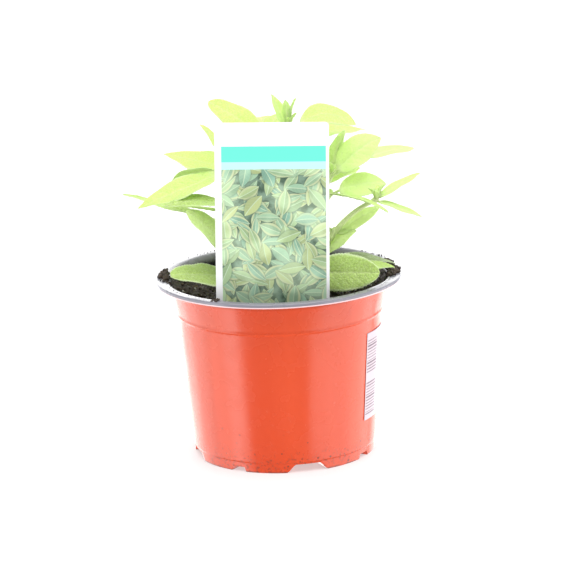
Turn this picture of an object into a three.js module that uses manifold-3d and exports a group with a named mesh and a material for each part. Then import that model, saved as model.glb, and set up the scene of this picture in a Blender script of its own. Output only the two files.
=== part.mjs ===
// A potted sage: a thin plastic nursery pot on eight moulded feet, its potting soil, nine leafy
// shoots that stand in holes in the soil, a plant label and a barcode-style sticker.
// Millimetres, +Z up, front towards -Y. The shapes are made about the pot's axis, from the surface
// it stands on. Then all move so that the origin lies under the middle of the whole plant.
import * as THREE from 'three';
import { mergeVertices } from 'three/addons/utils/BufferGeometryUtils.js';
import Module from 'manifold-3d';

const wasm = await Module();
wasm.setup();

// ---- Driving dimensions -----------------------------------------------------------------------

const SEGMENTS = 48; // around the pot
const GAP = 0.3; // between pieces that touch

const POT = {
  height: 95,
  wall: 1.0,
  footRadius: 47.6,
  stepRadius: 48.2, // where the body starts, just above the feet
  stepHeight: 5.6,
  bodyTopRadius: 53.5,
  bodyTop: 75.2,
  collarBottomRadius: 54.0,
  collarStep: 0.7,
  collarTopRadius: 57.3,
  collarTop: 91.5,
  rollRadius: 3, // of the bend from the wall out into the flange
  rimRadius: 65,
  rimBevel: 0.6,
  lip: 2.3,
  floor: 4.6,
};

const FEET = {
  groups: 4,
  firstGap: 14, // degrees to the right of the front, the middle of the first wide gap
  wideGap: { bottom: 24, top: 13, height: 4.3 },
  notch: { bottom: 9, top: 7, height: 2.5 },
  depth: 9, // how far the feet reach in under the floor
  drainRadius: 4,
  drainAt: 32,
};

const SOIL = {
  level: 87.5,
  heap: 5.5, // how much higher the soil lies against the left and right of the rim
  lump: 0.7,
  rings: 6,
  gap: 0.45, // to the wall, whose flat facets come nearer than its corners
};

const STEM = { sides: 6, steps: 8, sunk: 12, rootRadius: 1.8, tipRadius: 1.1 };

const LEAF = {
  width: 0.45, // of the length
  bow: 0.06, // how far the middle rises over the chord, of the length
  roll: 0, // degrees about the chord
  fold: 12, // degrees that each half is raised from the midrib
  stalk: 0.16, // of the length
  stalkRadius: 0.8,
  thickness: 0.8,
  scallop: 0.035, // waves of the edge, of the half width
};

// How finely a leaf is divided along and across, by the length it has at least.
const DIVISIONS = [
  { length: 35, along: [0.08, 0.26, 0.45, 0.64, 0.81, 0.93, 1], across: [-1, -0.5, 0, 0.5, 1] },
  { length: 24, along: [0.08, 0.26, 0.45, 0.64, 0.81, 0.93, 1], across: [-1, 0, 1] },
  { length: 0, along: [0.12, 0.35, 0.6, 0.85, 1], across: [-1, 0, 1] },
];

const LABEL = {
  width: 58,
  thickness: 0.6,
  top: 184.8,
  shoulder: 91.5, // below this height it narrows to its point
  neckWidth: 24,
  neck: 82,
  point: 58,
  corner: 2,
  x: -3.4, // of its middle at the rim
  y: -44.5,
  lean: 1.64, // degrees to the right
};

const STICKER = { from: 57, to: 85, bottom: 20.6, top: 68.1, thickness: 0.3, steps: 6, rows: 3 };

// ---- Shoots -----------------------------------------------------------------------------------

// A leaf grows at a fraction of its stem's length. Its tip lies at a heading (degrees, 0 to the
// right, 90 to the back), a rise over the level and a distance from there.
function leaf(at, heading, rise, length, shape = {}) {
  const { along, across } = DIVISIONS.find((division) => length >= division.length);
  return { ...LEAF, along, across, at, heading, rise, length, ...shape };
}

const SHOOTS = [
  { name: 'shoot_centre', root: [3, 5], tip: [8, 12, 170], lean: 0.15, climb: 0.5, leaves: [
    leaf(0.96, 147, 65, 23, { width: 0.32, bow: 0.02, roll: -20, fold: 25 }),
    leaf(0.95, 1, 8, 36, { width: 0.54, bow: 0.3, roll: 25, fold: 8, stalk: 0.2 }),
    leaf(1.0, -115, 78, 16, { width: 0.3, roll: 20, fold: 25 }),
    leaf(1.0, 14, 75, 16, { width: 0.3, roll: -20, fold: 25 }),
    leaf(0.9, 40, 0, 54, { width: 0.34, roll: 8 }),
    leaf(0.9, -150, 12, 28, { bow: 0.12 }),
    leaf(0.78, -80, 18, 36, { bow: 0.12 }),
    leaf(0.78, 60, 22, 34, { bow: 0.12 }),
    leaf(0.6, -60, 8, 32, { bow: 0.12 }),
    leaf(0.6, 170, 12, 14, { bow: 0.1 }),
    leaf(0.44, -92, 5, 28, { bow: 0.1 }),
    leaf(0.44, 88, 5, 26, { bow: 0.1 }),
  ] },
  { name: 'shoot_left_high', root: [-9, 3], tip: [-24, 2, 151], lean: 0.3, climb: 0.55, leaves: [
    leaf(1.0, 157, 57, 28, { width: 0.3, bow: 0.09, roll: -8, fold: 10 }),
    leaf(1.0, -70, 55, 18, { width: 0.4 }),
    leaf(0.91, 164, -8, 37, { width: 0.42, bow: 0.2, roll: 24, fold: 10 }),
    leaf(1.0, -168, -18.4, 51.5, { width: 0.31, bow: 0, roll: -28, fold: 14, stalk: 0.12 }),
    leaf(0.68, -158, 10.6, 44, { width: 0.3, bow: 0.1, roll: -18, fold: 10 }),
    leaf(0.55, 160, 12.7, 71, { width: 0.15, bow: 0, stalk: 0.3 }),
    leaf(0.66, 100, 15, 36, { bow: 0.1 }),
    leaf(0.62, -60, 15, 26, { bow: 0.1 }),
    leaf(0.45, 130, 5, 22, { bow: 0.1 }),
  ] },
  { name: 'shoot_left_low', root: [-14, -7], tip: [-21, -16, 132], lean: 0.3, climb: 0.6, leaves: [
    leaf(0.98, -164, 14, 32, { width: 0.24, bow: 0.03, roll: 12, stalk: 0.1 }),
    leaf(0.32, -152, 49, 53, { width: 0.34, roll: -50, stalk: 0.2 }),
    leaf(1.0, 100, 45, 16),
    leaf(1.0, -80, 50, 15),
    leaf(0.98, 0, 20, 20),
    leaf(0.26, -150, 14, 48, { width: 0.44, roll: -22, fold: 5, stalk: 0.12 }),
    leaf(0.66, -40, 10, 20),
    leaf(0.4, -15, 5, 18),
  ] },
  { name: 'shoot_right_high', root: [10, 4], tip: [29, 4, 146], lean: 0.3, climb: 0.5, leaves: [
    leaf(1.0, -14, 71, 25, { width: 0.4, roll: -35, fold: 20 }),
    leaf(0.97, 33, 8, 55, { width: 0.24, bow: 0.08, roll: 10, stalk: 0.45 }),
    leaf(0.97, -110, 35, 24, { bow: 0.1 }),
    leaf(0.97, -7, 38, 35, { width: 0.54, bow: 0.1, roll: 50, fold: 14, stalk: 0.2 }),
    leaf(0.78, -10, 17, 36, { width: 0.46, bow: 0.18, roll: 38, fold: 6, stalk: 0.34 }),
    leaf(0.85, -48, -3, 48, { width: 0.16, roll: -12 }),
    leaf(0.7, 85, 12, 32, { bow: 0.1 }),
    leaf(0.56, -105, 25, 24, { bow: 0.1 }),
    leaf(0.56, 80, 8, 24, { bow: 0.1 }),
    leaf(0.4, 40, 5, 22, { bow: 0.1 }),
  ] },
  { name: 'shoot_right_low', root: [14, 0], tip: [52, -15, 136], lean: 0.2, climb: 0.76, leaves: [
    leaf(0.98, 15, 26, 28, { width: 0.34, bow: 0.02, roll: 8, stalk: 0.1 }),
    leaf(0.98, -13, -18, 26, { width: 0.34, bow: 0.02, roll: 5, stalk: 0.1 }),
    leaf(1.0, 80, 45, 9),
    leaf(1.0, -100, 50, 8),
    leaf(0.52, 10, 28, 30, { width: 0.3, bow: 0.04, roll: 50, stalk: 0.12 }),
    leaf(0.36, -15, 35, 24, { width: 0.5, roll: 35, stalk: 0.14 }),
    leaf(0.36, -130, 10, 14),
    leaf(0.52, -170, 15, 15),
  ] },
  { name: 'shoot_right_front', root: [13, -17], tip: [15, -19, 99], lean: 0.5, climb: 0.6, leaves: [
    leaf(1.0, -19, 3, 39, { width: 0.52, bow: 0.05, roll: 64, fold: 5, stalk: 0.08 }),
    leaf(0.97, 27, -2, 52, { width: 0.34, bow: 0.12, roll: 5, fold: 5, stalk: 0.1 }),
    leaf(0.8, 4, 6, 46, { width: 0.3, bow: 0.08, roll: 10 }),
  ] },
  { name: 'shoot_back_left', root: [-5, 13], tip: [-4, 30, 160], lean: 0.2, climb: 0.6, leaves: [
    leaf(1.0, 165, 33, 37, { width: 0.46, bow: 0.05, roll: -35, fold: 8, stalk: 0.05 }),
    leaf(1.0, 70, 25, 24, { bow: 0.08 }),
    leaf(0.7, 165, 14.6, 58, { width: 0.35, bow: 0.04, roll: -20, fold: 8 }),
    leaf(0.9, 95, 20, 38, { bow: 0.12 }),
    leaf(0.84, 20, 15, 16, { bow: 0.12 }),
    leaf(0.66, 118, 5, 40, { bow: 0.12 }),
    leaf(0.66, 90, 8, 34, { bow: 0.12 }),
    leaf(0.46, 165, 5, 24, { bow: 0.12 }),
  ] },
  { name: 'shoot_back_right', root: [8, 15], tip: [17, 38, 134], lean: 0.2, climb: 0.6, leaves: [
    leaf(1.0, 60, 45, 22),
    leaf(1.0, -120, 55, 14),
    leaf(0.92, 85, 20, 34, { width: 0.48, bow: 0.12 }),
    leaf(0.92, 25, 15, 34, { bow: 0.12, roll: 20 }),
    leaf(0.72, 60, 5, 30, { bow: 0.12 }),
    leaf(0.72, 150, 5, 20, { bow: 0.12 }),
    leaf(0.52, 95, 0, 34, { bow: 0.14 }),
    leaf(0.52, -70, 8, 16),
    leaf(0.36, 20, 3, 24, { bow: 0.14 }),
  ] },
  { name: 'shoot_back_low', root: [-3, 22], tip: [-14, 50, 116], lean: 0.3, climb: 0.6, leaves: [
    leaf(1.0, 95, 45, 22),
    leaf(1.0, -60, 50, 16),
    leaf(0.93, 150, 10, 28, { bow: 0.12, roll: -10 }),
    leaf(0.93, 30, 15, 26, { bow: 0.12 }),
    leaf(0.74, 110, 5, 36, { bow: 0.12 }),
    leaf(0.74, -150, 10, 18, { bow: 0.12 }),
    leaf(0.5, 75, 5, 30, { bow: 0.12 }),
    leaf(0.5, 165, 5, 24, { bow: 0.12 }),
    leaf(0.3, 110, 5, 26, { bow: 0.12 }),
  ] },
];

// ---- Solids -----------------------------------------------------------------------------------

const radians = THREE.MathUtils.degToRad;
const UP = new THREE.Vector3(0, 0, 1);

// A closed three.js geometry as a solid that can be joined and cut.
function toSolid(geometry) {
  const bare = geometry.clone();
  bare.deleteAttribute('normal');
  bare.deleteAttribute('uv');
  const merged = mergeVertices(bare, 1e-4);
  return new wasm.Manifold(new wasm.Mesh({
    numProp: 3,
    vertProperties: new Float32Array(merged.attributes.position.array),
    triVerts: new Uint32Array(merged.index.array),
  }));
}

// A solid back as a three.js geometry.
function toGeometry(solid) {
  const mesh = solid.getMesh();
  const geometry = new THREE.BufferGeometry();
  geometry.setAttribute('position', new THREE.BufferAttribute(mesh.vertProperties, 3));
  geometry.setIndex(new THREE.BufferAttribute(mesh.triVerts, 1));
  geometry.computeVertexNormals();
  return geometry;
}

function closedGeometry(points, triangles) {
  const geometry = new THREE.BufferGeometry();
  geometry.setFromPoints(points);
  geometry.setIndex(triangles);
  return geometry;
}

// A profile of [radius, height] points turned about the vertical axis.
function turned(profile) {
  const points = profile.map(([radius, height]) => new THREE.Vector2(radius, height));
  return new THREE.LatheGeometry(points, SEGMENTS).rotateX(Math.PI / 2);
}

// An outline in X and Z, pushed along +Y from zero by a depth.
function upright(outline, depth) {
  const shape = new THREE.Shape(outline.map(([x, z]) => new THREE.Vector2(x, z)));
  const geometry = new THREE.ExtrudeGeometry(shape, { depth, bevelEnabled: false });
  return geometry.rotateX(Math.PI / 2).translate(0, depth, 0);
}

function linear(from, to, part) {
  return from + (to - from) * part;
}

// ---- Pot --------------------------------------------------------------------------------------

// The outer radius of the body below its collar.
function bodyRadius(height) {
  const part = (height - POT.stepHeight) / (POT.bodyTop - POT.stepHeight);
  return linear(POT.stepRadius, POT.bodyTopRadius, part);
}

function collarRadius(height) {
  const part = (height - POT.bodyTop) / (POT.collarTop - POT.bodyTop);
  return linear(POT.collarBottomRadius, POT.collarTopRadius, part);
}

// The radius of the inside of the wall, which the soil lies against.
function insideRadius(height) {
  const outside = height > POT.bodyTop ? collarRadius(height) : bodyRadius(height);
  return outside - POT.wall;
}

function makePot() {
  const { height, wall, rimRadius, rimBevel, lip, floor, collarTop, collarTopRadius } = POT;
  const footInner = POT.footRadius - FEET.depth;
  const underFlange = height - wall;
  const underRoll = underFlange - collarTop;
  const profile = [
    [0, floor],
    [footInner, floor],
    [footInner, 0],
    [POT.footRadius, 0],
    [POT.stepRadius - 0.4, POT.stepHeight - 0.4],
    [POT.stepRadius, POT.stepHeight],
    [POT.bodyTopRadius, POT.bodyTop],
    [POT.collarBottomRadius, POT.bodyTop + POT.collarStep],
    ...roll(collarTopRadius, underRoll, underFlange),
    [rimRadius - wall, underFlange],
    [rimRadius - wall, height - lip],
    [rimRadius, height - lip],
    [rimRadius, height - rimBevel],
    [rimRadius - rimBevel, height],
    ...roll(collarTopRadius - wall, underRoll + wall, height).reverse(),
    [insideRadius(POT.bodyTop + wall), POT.bodyTop + wall],
    [insideRadius(POT.bodyTop), POT.bodyTop],
    [insideRadius(POT.stepHeight + wall), POT.stepHeight + wall],
    [POT.stepRadius - 2 * wall, floor + wall],
    [0, floor + wall],
  ];
  let pot = toSolid(turned(profile));
  const turn = 360 / FEET.groups;
  for (let group = 0; group < FEET.groups; group += 1) {
    const middle = FEET.firstGap + group * turn;
    pot = pot.subtract(footGap(FEET.wideGap, middle));
    pot = pot.subtract(footGap(FEET.notch, middle + turn / 2));
    pot = pot.subtract(drainHole(FEET.drainAt, middle));
  }
  pot = pot.subtract(drainHole(0, 0));
  return toGeometry(pot);
}

// The bend from the wall at a radius up into the flange at the top height, as a quarter of an
// ellipse.
function roll(radius, rise, top) {
  return [0, 1 / 3, 2 / 3, 1].map((part) => {
    const angle = (part * Math.PI) / 2;
    return [radius + POT.rollRadius * (1 - Math.cos(angle)), top - rise * (1 - Math.sin(angle))];
  });
}

// A gap between feet, at an angle to the right of the front, cut in from outside.
function footGap({ bottom, top, height }, angle) {
  const outline = [[-bottom / 2, -1], [bottom / 2, -1], [top / 2, height], [-top / 2, height]];
  const reach = POT.footRadius + 4;
  const gap = upright(outline, FEET.depth + 6).translate(0, -reach, 0);
  return toSolid(gap.rotateZ(radians(angle)));
}

function drainHole(radius, angle) {
  const hole = new THREE.CylinderGeometry(FEET.drainRadius, FEET.drainRadius, 6, 16);
  hole.rotateX(Math.PI / 2).translate(0, -radius, POT.floor + POT.wall / 2);
  return toSolid(hole.rotateZ(radians(angle)));
}

// ---- Soil -------------------------------------------------------------------------------------

// The height of the soil: level in the middle, heaped against the rim at the left and right.
function soilHeight(x, y) {
  const sideways = Math.min(1, (x * x) / (55 * 55));
  const heap = SOIL.heap * sideways ** 3;
  const lumps = Math.sin(x * 0.31 + y * 0.17) * Math.sin(y * 0.37 - x * 0.12 + 1.3);
  return SOIL.level + heap + SOIL.lump * lumps;
}

function makeSoil() {
  const bottom = POT.floor + POT.wall + GAP;
  const points = [new THREE.Vector3(0, 0, bottom)];
  const rings = [
    [insideRadius(POT.stepHeight + POT.wall) - 1.2, bottom],
    [insideRadius(bottom + 2) - SOIL.gap, bottom + 2],
    [insideRadius(POT.bodyTop) - SOIL.gap, POT.bodyTop],
    [insideRadius(84) - SOIL.gap, 84],
  ];
  for (const [radius, height] of rings) {
    addRing(points, () => radius, () => height);
  }
  const edge = insideRadius(SOIL.level) - SOIL.gap;
  for (let ring = 0; ring < SOIL.rings; ring += 1) {
    const radius = edge * (1 - ring / SOIL.rings);
    addRing(points, () => radius, soilHeight);
  }
  points.push(new THREE.Vector3(0, 0, soilHeight(0, 0)));
  const count = rings.length + SOIL.rings;
  let soil = toSolid(closedGeometry(points, ringTriangles(count, SEGMENTS)));
  for (const shoot of SHOOTS) {
    soil = soil.subtract(toSolid(stemGeometry(shoot, GAP, GAP)));
  }
  soil = soil.subtract(toSolid(labelGeometry(GAP)));
  return toGeometry(soil);
}

function addRing(points, radiusAt, heightAt) {
  for (let step = 0; step < SEGMENTS; step += 1) {
    const angle = (step / SEGMENTS) * 2 * Math.PI;
    const x = radiusAt(angle) * Math.cos(angle);
    const y = radiusAt(angle) * Math.sin(angle);
    points.push(new THREE.Vector3(x, y, heightAt(x, y)));
  }
}

// The triangles of rings of equal count between a first and a last point, facing out when the
// rings run counter-clockwise about the way from the first point to the last.
function ringTriangles(rings, count) {
  const triangles = [];
  const last = 1 + rings * count;
  for (let step = 0; step < count; step += 1) {
    const next = (step + 1) % count;
    triangles.push(0, 1 + next, 1 + step);
    for (let ring = 0; ring + 1 < rings; ring += 1) {
      const low = 1 + ring * count;
      const high = low + count;
      triangles.push(low + step, low + next, high + next);
      triangles.push(low + step, high + next, high + step);
    }
    triangles.push(last - count + step, last - count + next, last);
  }
  return triangles;
}

// ---- Shoots -----------------------------------------------------------------------------------

function stemCurve({ root, tip, lean, climb }) {
  const start = new THREE.Vector3(root[0], root[1], SOIL.level - STEM.sunk);
  const end = new THREE.Vector3(...tip);
  const bend = new THREE.Vector3(
    linear(start.x, end.x, lean),
    linear(start.y, end.y, lean),
    linear(start.z, end.z, climb),
  );
  return new THREE.QuadraticBezierCurve3(start, bend, end);
}

// A round stem that thins towards its tip. The clearance widens it, and the deeper end is the
// same clearance further down, for the hole it stands in.
function stemGeometry(shoot, clearance = 0, deeper = 0) {
  const curve = stemCurve(shoot);
  const start = curve.getPoint(0).addScaledVector(curve.getTangent(0), -deeper);
  const points = [start];
  for (let step = 0; step <= STEM.steps; step += 1) {
    const part = step / STEM.steps;
    const centre = step === 0 ? start : curve.getPoint(part);
    const along = curve.getTangent(part);
    const side = new THREE.Vector3(0, 1, 0).cross(along).normalize();
    const other = along.clone().cross(side);
    const radius = linear(STEM.rootRadius, STEM.tipRadius, part) + clearance;
    for (let turn = 0; turn < STEM.sides; turn += 1) {
      const angle = (turn / STEM.sides) * 2 * Math.PI;
      points.push(centre.clone()
        .addScaledVector(side, radius * Math.cos(angle))
        .addScaledVector(other, radius * Math.sin(angle)));
    }
  }
  points.push(curve.getPoint(1).addScaledVector(curve.getTangent(1), STEM.tipRadius));
  return closedGeometry(points, ringTriangles(STEM.steps + 1, STEM.sides));
}

// Half the width of a leaf's blade, as part of its greatest, from its foot (0) to its tip (1).
function bladeShape(part) {
  return Math.sin(Math.PI * part ** 0.85) ** 0.65;
}

// A leaf as a thin closed solid: a narrow stalk sunk into the stem, then a blade that is folded
// along its midrib, bowed along its length and scalloped along its edge.
function leafGeometry(shoot, form) {
  const start = stemCurve(shoot).getPoint(form.at);
  const level = Math.cos(radians(form.rise));
  const chord = new THREE.Vector3(
    level * Math.cos(radians(form.heading)),
    level * Math.sin(radians(form.heading)),
    Math.sin(radians(form.rise)),
  );
  const face = UP.clone().addScaledVector(chord, -UP.dot(chord)).normalize();
  face.applyAxisAngle(chord, radians(form.roll));
  const side = chord.clone().cross(face);
  const rows = [0, form.stalk * 0.85];
  const widths = [form.stalkRadius, form.stalkRadius];
  form.along.forEach((part, index) => {
    const scallop = 1 + form.scallop * (index % 2 === 0 ? 1 : -1);
    const width = (form.length * form.width * bladeShape(Math.min(part, 0.995)) * scallop) / 2;
    rows.push(linear(form.stalk, 1, part));
    widths.push(Math.max(width, 0.45));
  });
  const upper = [];
  const lower = [];
  rows.forEach((along, row) => {
    const rise = 4 * along * (1 - along) * form.bow;
    const middle = start.clone()
      .addScaledVector(chord, form.length * along)
      .addScaledVector(face, form.length * rise);
    const tangent = chord.clone().addScaledVector(face, 4 * (1 - 2 * along) * form.bow).normalize();
    const normal = face.clone().addScaledVector(tangent, -face.dot(tangent)).normalize();
    for (const across of form.across) {
      const out = Math.abs(across) * widths[row];
      const lift = out * Math.sin(radians(form.fold)) - 0.12 * out * Math.abs(across);
      const point = middle.clone()
        .addScaledVector(side, across * widths[row] * Math.cos(radians(form.fold)))
        .addScaledVector(normal, lift);
      upper.push(point.clone().addScaledVector(normal, form.thickness / 2));
      lower.push(point.clone().addScaledVector(normal, -form.thickness / 2));
    }
  });
  return closedGeometry([...upper, ...lower], sheetTriangles(rows.length, form.across.length));
}

// The triangles of a sheet of rows of points, given as an upper and then a lower face, which
// split each square alike, and the four edges between them.
function sheetTriangles(rows, columns) {
  const triangles = [];
  const below = rows * columns;
  const at = (row, column) => row * columns + column;
  for (let row = 0; row + 1 < rows; row += 1) {
    for (let column = 0; column + 1 < columns; column += 1) {
      const a = at(row, column);
      const b = at(row, column + 1);
      const c = at(row + 1, column + 1);
      const d = at(row + 1, column);
      triangles.push(a, b, c, a, c, d);
      triangles.push(a + below, c + below, b + below, a + below, d + below, c + below);
    }
    for (const [first, second] of [
      [at(row, 0), at(row + 1, 0)],
      [at(row + 1, columns - 1), at(row, columns - 1)],
    ]) {
      triangles.push(first, second, second + below, first, second + below, first + below);
    }
  }
  for (let column = 0; column + 1 < columns; column += 1) {
    for (const [first, second] of [
      [at(0, column + 1), at(0, column)],
      [at(rows - 1, column), at(rows - 1, column + 1)],
    ]) {
      triangles.push(first, second, second + below, first, second + below, first + below);
    }
  }
  return triangles;
}

function makeShoot(shoot) {
  let solid = toSolid(stemGeometry(shoot));
  for (const form of shoot.leaves) {
    solid = solid.add(toSolid(leafGeometry(shoot, form)));
  }
  return toGeometry(solid);
}

// ---- Label and sticker ------------------------------------------------------------------------

// A flat label that narrows below the rim to a point in the soil. The clearance widens it all
// round, for the slot it stands in.
function labelGeometry(clearance = 0) {
  const half = LABEL.width / 2 + clearance;
  const neck = LABEL.neckWidth / 2 + clearance;
  const { corner, top, shoulder, point } = LABEL;
  const right = [
    [0, point - 2 * clearance],
    [neck, LABEL.neck - clearance],
    [half, shoulder - clearance],
    [half, top - corner],
    [half - 0.3 * corner, top - 0.3 * corner],
    [half - corner, top],
  ];
  const left = right.slice(1).reverse().map(([x, z]) => [-x, z]);
  const depth = LABEL.thickness + 2 * clearance;
  const geometry = upright([...right, ...left], depth).translate(0, -depth / 2, -POT.height);
  return geometry.rotateY(radians(LABEL.lean)).translate(LABEL.x, LABEL.y, POT.height);
}

// A thin sheet bent round the body, a little off its wall.
function stickerGeometry() {
  const outer = [];
  const inner = [];
  for (let row = 0; row <= STICKER.rows; row += 1) {
    const height = linear(STICKER.bottom, STICKER.top, row / STICKER.rows);
    const radius = bodyRadius(height) + GAP;
    for (let step = 0; step <= STICKER.steps; step += 1) {
      const angle = radians(linear(STICKER.from, STICKER.to, step / STICKER.steps));
      const away = new THREE.Vector3(Math.sin(angle), -Math.cos(angle), 0);
      const foot = new THREE.Vector3(0, 0, height);
      outer.push(foot.clone().addScaledVector(away, radius + STICKER.thickness));
      inner.push(foot.clone().addScaledVector(away, radius));
    }
  }
  return closedGeometry([...outer, ...inner], sheetTriangles(STICKER.rows + 1, STICKER.steps + 1));
}

// ---- The whole --------------------------------------------------------------------------------

const FINISH = {
  pot: { color: '#eb5c3a', roughness: 0.35 },
  soil: { color: '#32281f', roughness: 0.95 },
  leaf: { color: '#b6d66c', roughness: 0.6 },
  label: { color: '#f7f8f8', roughness: 0.4 },
  sticker: { color: '#f6e6e8', roughness: 0.5 },
};

function piece(name, geometry, finish) {
  const material = new THREE.MeshStandardMaterial({ ...finish, metalness: 0 });
  const mesh = new THREE.Mesh(geometry, material);
  mesh.name = name;
  return mesh;
}

const sage = new THREE.Group();
sage.name = 'potted_sage';
sage.add(piece('pot', makePot(), FINISH.pot));
sage.add(piece('soil', makeSoil(), FINISH.soil));
for (const shoot of SHOOTS) {
  sage.add(piece(shoot.name, makeShoot(shoot), FINISH.leaf));
}
sage.add(piece('label', labelGeometry(), FINISH.label));
sage.add(piece('sticker', stickerGeometry(), FINISH.sticker));

const middle = new THREE.Box3().setFromObject(sage).getCenter(new THREE.Vector3());
for (const member of sage.children) {
  member.position.set(-middle.x, -middle.y, 0);
}

export default sage;
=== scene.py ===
"""A potted sage for Blender 4.5: pot, compost, nine leafy shoots, plant label and bar sticker.

Every shape is worked out in millimetres about the pot's axis, from the surface the pot stands
on, with +Z up and the front towards -Y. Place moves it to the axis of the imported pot, in metres.
"""

import logging
import math
from dataclasses import dataclass, field
from enum import Enum
from typing import Any, Iterable, Sequence

import bpy
import numpy as np
from mathutils import Matrix, Vector

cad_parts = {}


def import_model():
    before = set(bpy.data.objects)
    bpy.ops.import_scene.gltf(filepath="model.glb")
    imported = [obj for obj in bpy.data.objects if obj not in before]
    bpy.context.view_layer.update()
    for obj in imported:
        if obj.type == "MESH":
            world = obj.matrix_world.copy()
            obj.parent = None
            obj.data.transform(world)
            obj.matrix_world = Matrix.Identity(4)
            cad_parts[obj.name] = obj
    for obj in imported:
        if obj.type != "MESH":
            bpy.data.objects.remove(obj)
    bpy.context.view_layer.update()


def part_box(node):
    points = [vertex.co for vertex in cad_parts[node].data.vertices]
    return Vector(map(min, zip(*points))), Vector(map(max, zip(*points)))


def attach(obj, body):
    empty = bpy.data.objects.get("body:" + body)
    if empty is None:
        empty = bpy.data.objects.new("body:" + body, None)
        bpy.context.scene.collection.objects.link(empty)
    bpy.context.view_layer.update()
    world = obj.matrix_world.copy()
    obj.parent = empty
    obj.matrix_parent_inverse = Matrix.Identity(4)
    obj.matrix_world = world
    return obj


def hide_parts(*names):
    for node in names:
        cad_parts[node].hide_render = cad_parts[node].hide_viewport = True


LOG = logging.getLogger("potted_sage")
MM = 0.001
Colour = tuple[float, float, float]


class Slot(Enum):
    """The material slots of the part's record."""

    POT = "pot_plastic"
    SOIL = "soil"
    LEAF = "leaf"
    LABEL = "label_plastic"
    STICKER = "sticker_paper"


# ---- Surfaces worked out as whole arrays ---------------------------------------------------------


def unit(vectors: np.ndarray) -> np.ndarray:
    """Vectors along the last axis, each divided by its own length."""
    return vectors / np.maximum(np.linalg.norm(vectors, axis=-1, keepdims=True), 1e-9)


def smooth(low: float, high: float, value: np.ndarray) -> np.ndarray:
    """A soft step: t * t * (3 - 2 t) with t the share of the way from low to high."""
    part = np.clip((value - low) / (high - low), 0, 1)
    return part * part * (3 - 2 * part)


def hashed(cells: np.ndarray, seed: float) -> np.ndarray:
    """The fraction of 43758.5 |sin(cell . (127.1, 311.7, 74.7) + 57.3 seed)|, from 0 to 1."""
    weights = np.array((127.1, 311.7, 74.7))[: cells.shape[-1]]
    return np.modf(np.abs(np.sin(cells @ weights + seed * 57.3) * 43758.5453))[0]


def lattice_noise(points: np.ndarray, size: float, seed: float) -> np.ndarray:
    """Smooth noise from -1 to 1: lattice values blended by soft steps along each axis.

    Args:
        points: Places, an array whose last axis has two or three coordinates.
        size: The lattice's pitch.
        seed: Which noise.

    Returns:
        One value for each place.
    """
    scaled = points / size
    whole = np.floor(scaled)
    part = scaled - whole
    part = part * part * (3 - 2 * part)
    total = np.zeros(points.shape[:-1])
    count = points.shape[-1]
    for corner in range(2**count):
        offset = np.array([(corner >> axis) & 1 for axis in range(count)])
        weight = np.prod(np.where(offset == 1, part, 1 - part), axis=-1)
        total += weight * hashed(whole + offset, seed)
    return 2 * total - 1


def octaves(points: np.ndarray, size: float, count: int, seed: float) -> np.ndarray:
    """A sum of lattice noises, each of half the pitch and half the height of the one before."""
    levels = range(count)
    return sum(lattice_noise(points, size / 2**k, seed + k) / 2**k for k in levels)


def pebbles(points: np.ndarray, size: float, seed: float) -> np.ndarray:
    """Rounded cushions with creases between them: 1 at a cell's seed point, 0 at its border.

    Each lattice square holds one jittered seed point. With d1 and d2 the distances to the nearest
    two, the value is a soft step of (d2 - d1) / pitch.

    Args:
        points: Places in the plane, an array whose last axis has two coordinates.
        size: The lattice's pitch.
        seed: Which pattern.

    Returns:
        One value for each place.
    """
    scaled = points / size
    whole = np.floor(scaled)
    found = []
    for step_x in (-1, 0, 1):
        for step_y in (-1, 0, 1):
            cell = whole + np.array((step_x, step_y))
            jitter = np.stack([hashed(cell, seed), hashed(cell, seed + 0.5)], -1)
            found.append(np.linalg.norm(cell + 0.15 + 0.7 * jitter - scaled, axis=-1))
    nearest = np.sort(np.stack(found), axis=0)
    return smooth(0, 0.55, nearest[1] - nearest[0])


def polar(radius: np.ndarray, angle: np.ndarray, height: np.ndarray) -> np.ndarray:
    """Points (r sin a, -r cos a, h) about the pot's axis, with a to the right of the front."""
    x, y, z = np.broadcast_arrays(radius * np.sin(angle), -radius * np.cos(angle), height)
    return np.stack([x, y, z], -1)


def square_to(ways: np.ndarray, hint: Sequence[float]) -> tuple[np.ndarray, np.ndarray]:
    """Two directions square to the ways and to each other: S = way x hint, and O = way x S.

    Args:
        ways: Unit vectors along the last axis.
        hint: A direction that no way runs along.

    Returns:
        The directions S and O, of unit length.
    """
    side = unit(np.cross(ways, np.array(hint)))
    return side, np.cross(ways, side)


def circle_about(frame: tuple[np.ndarray, np.ndarray], angle: np.ndarray) -> np.ndarray:
    """Unit vectors round a way, cos a S + sin a O.

    Args:
        frame: The directions S and O, along their last axis.
        angle: Angles a.

    Returns:
        The vectors, with one more axis before the last for the angles.
    """
    side, other = frame
    turn = angle[:, None]
    return np.cos(turn) * side[..., None, :] + np.sin(turn) * other[..., None, :]


def around_once(count: int) -> np.ndarray:
    """Evenly spaced angles of a full turn, in radians."""
    return np.linspace(0, 2 * np.pi, count, endpoint=False)


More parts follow.
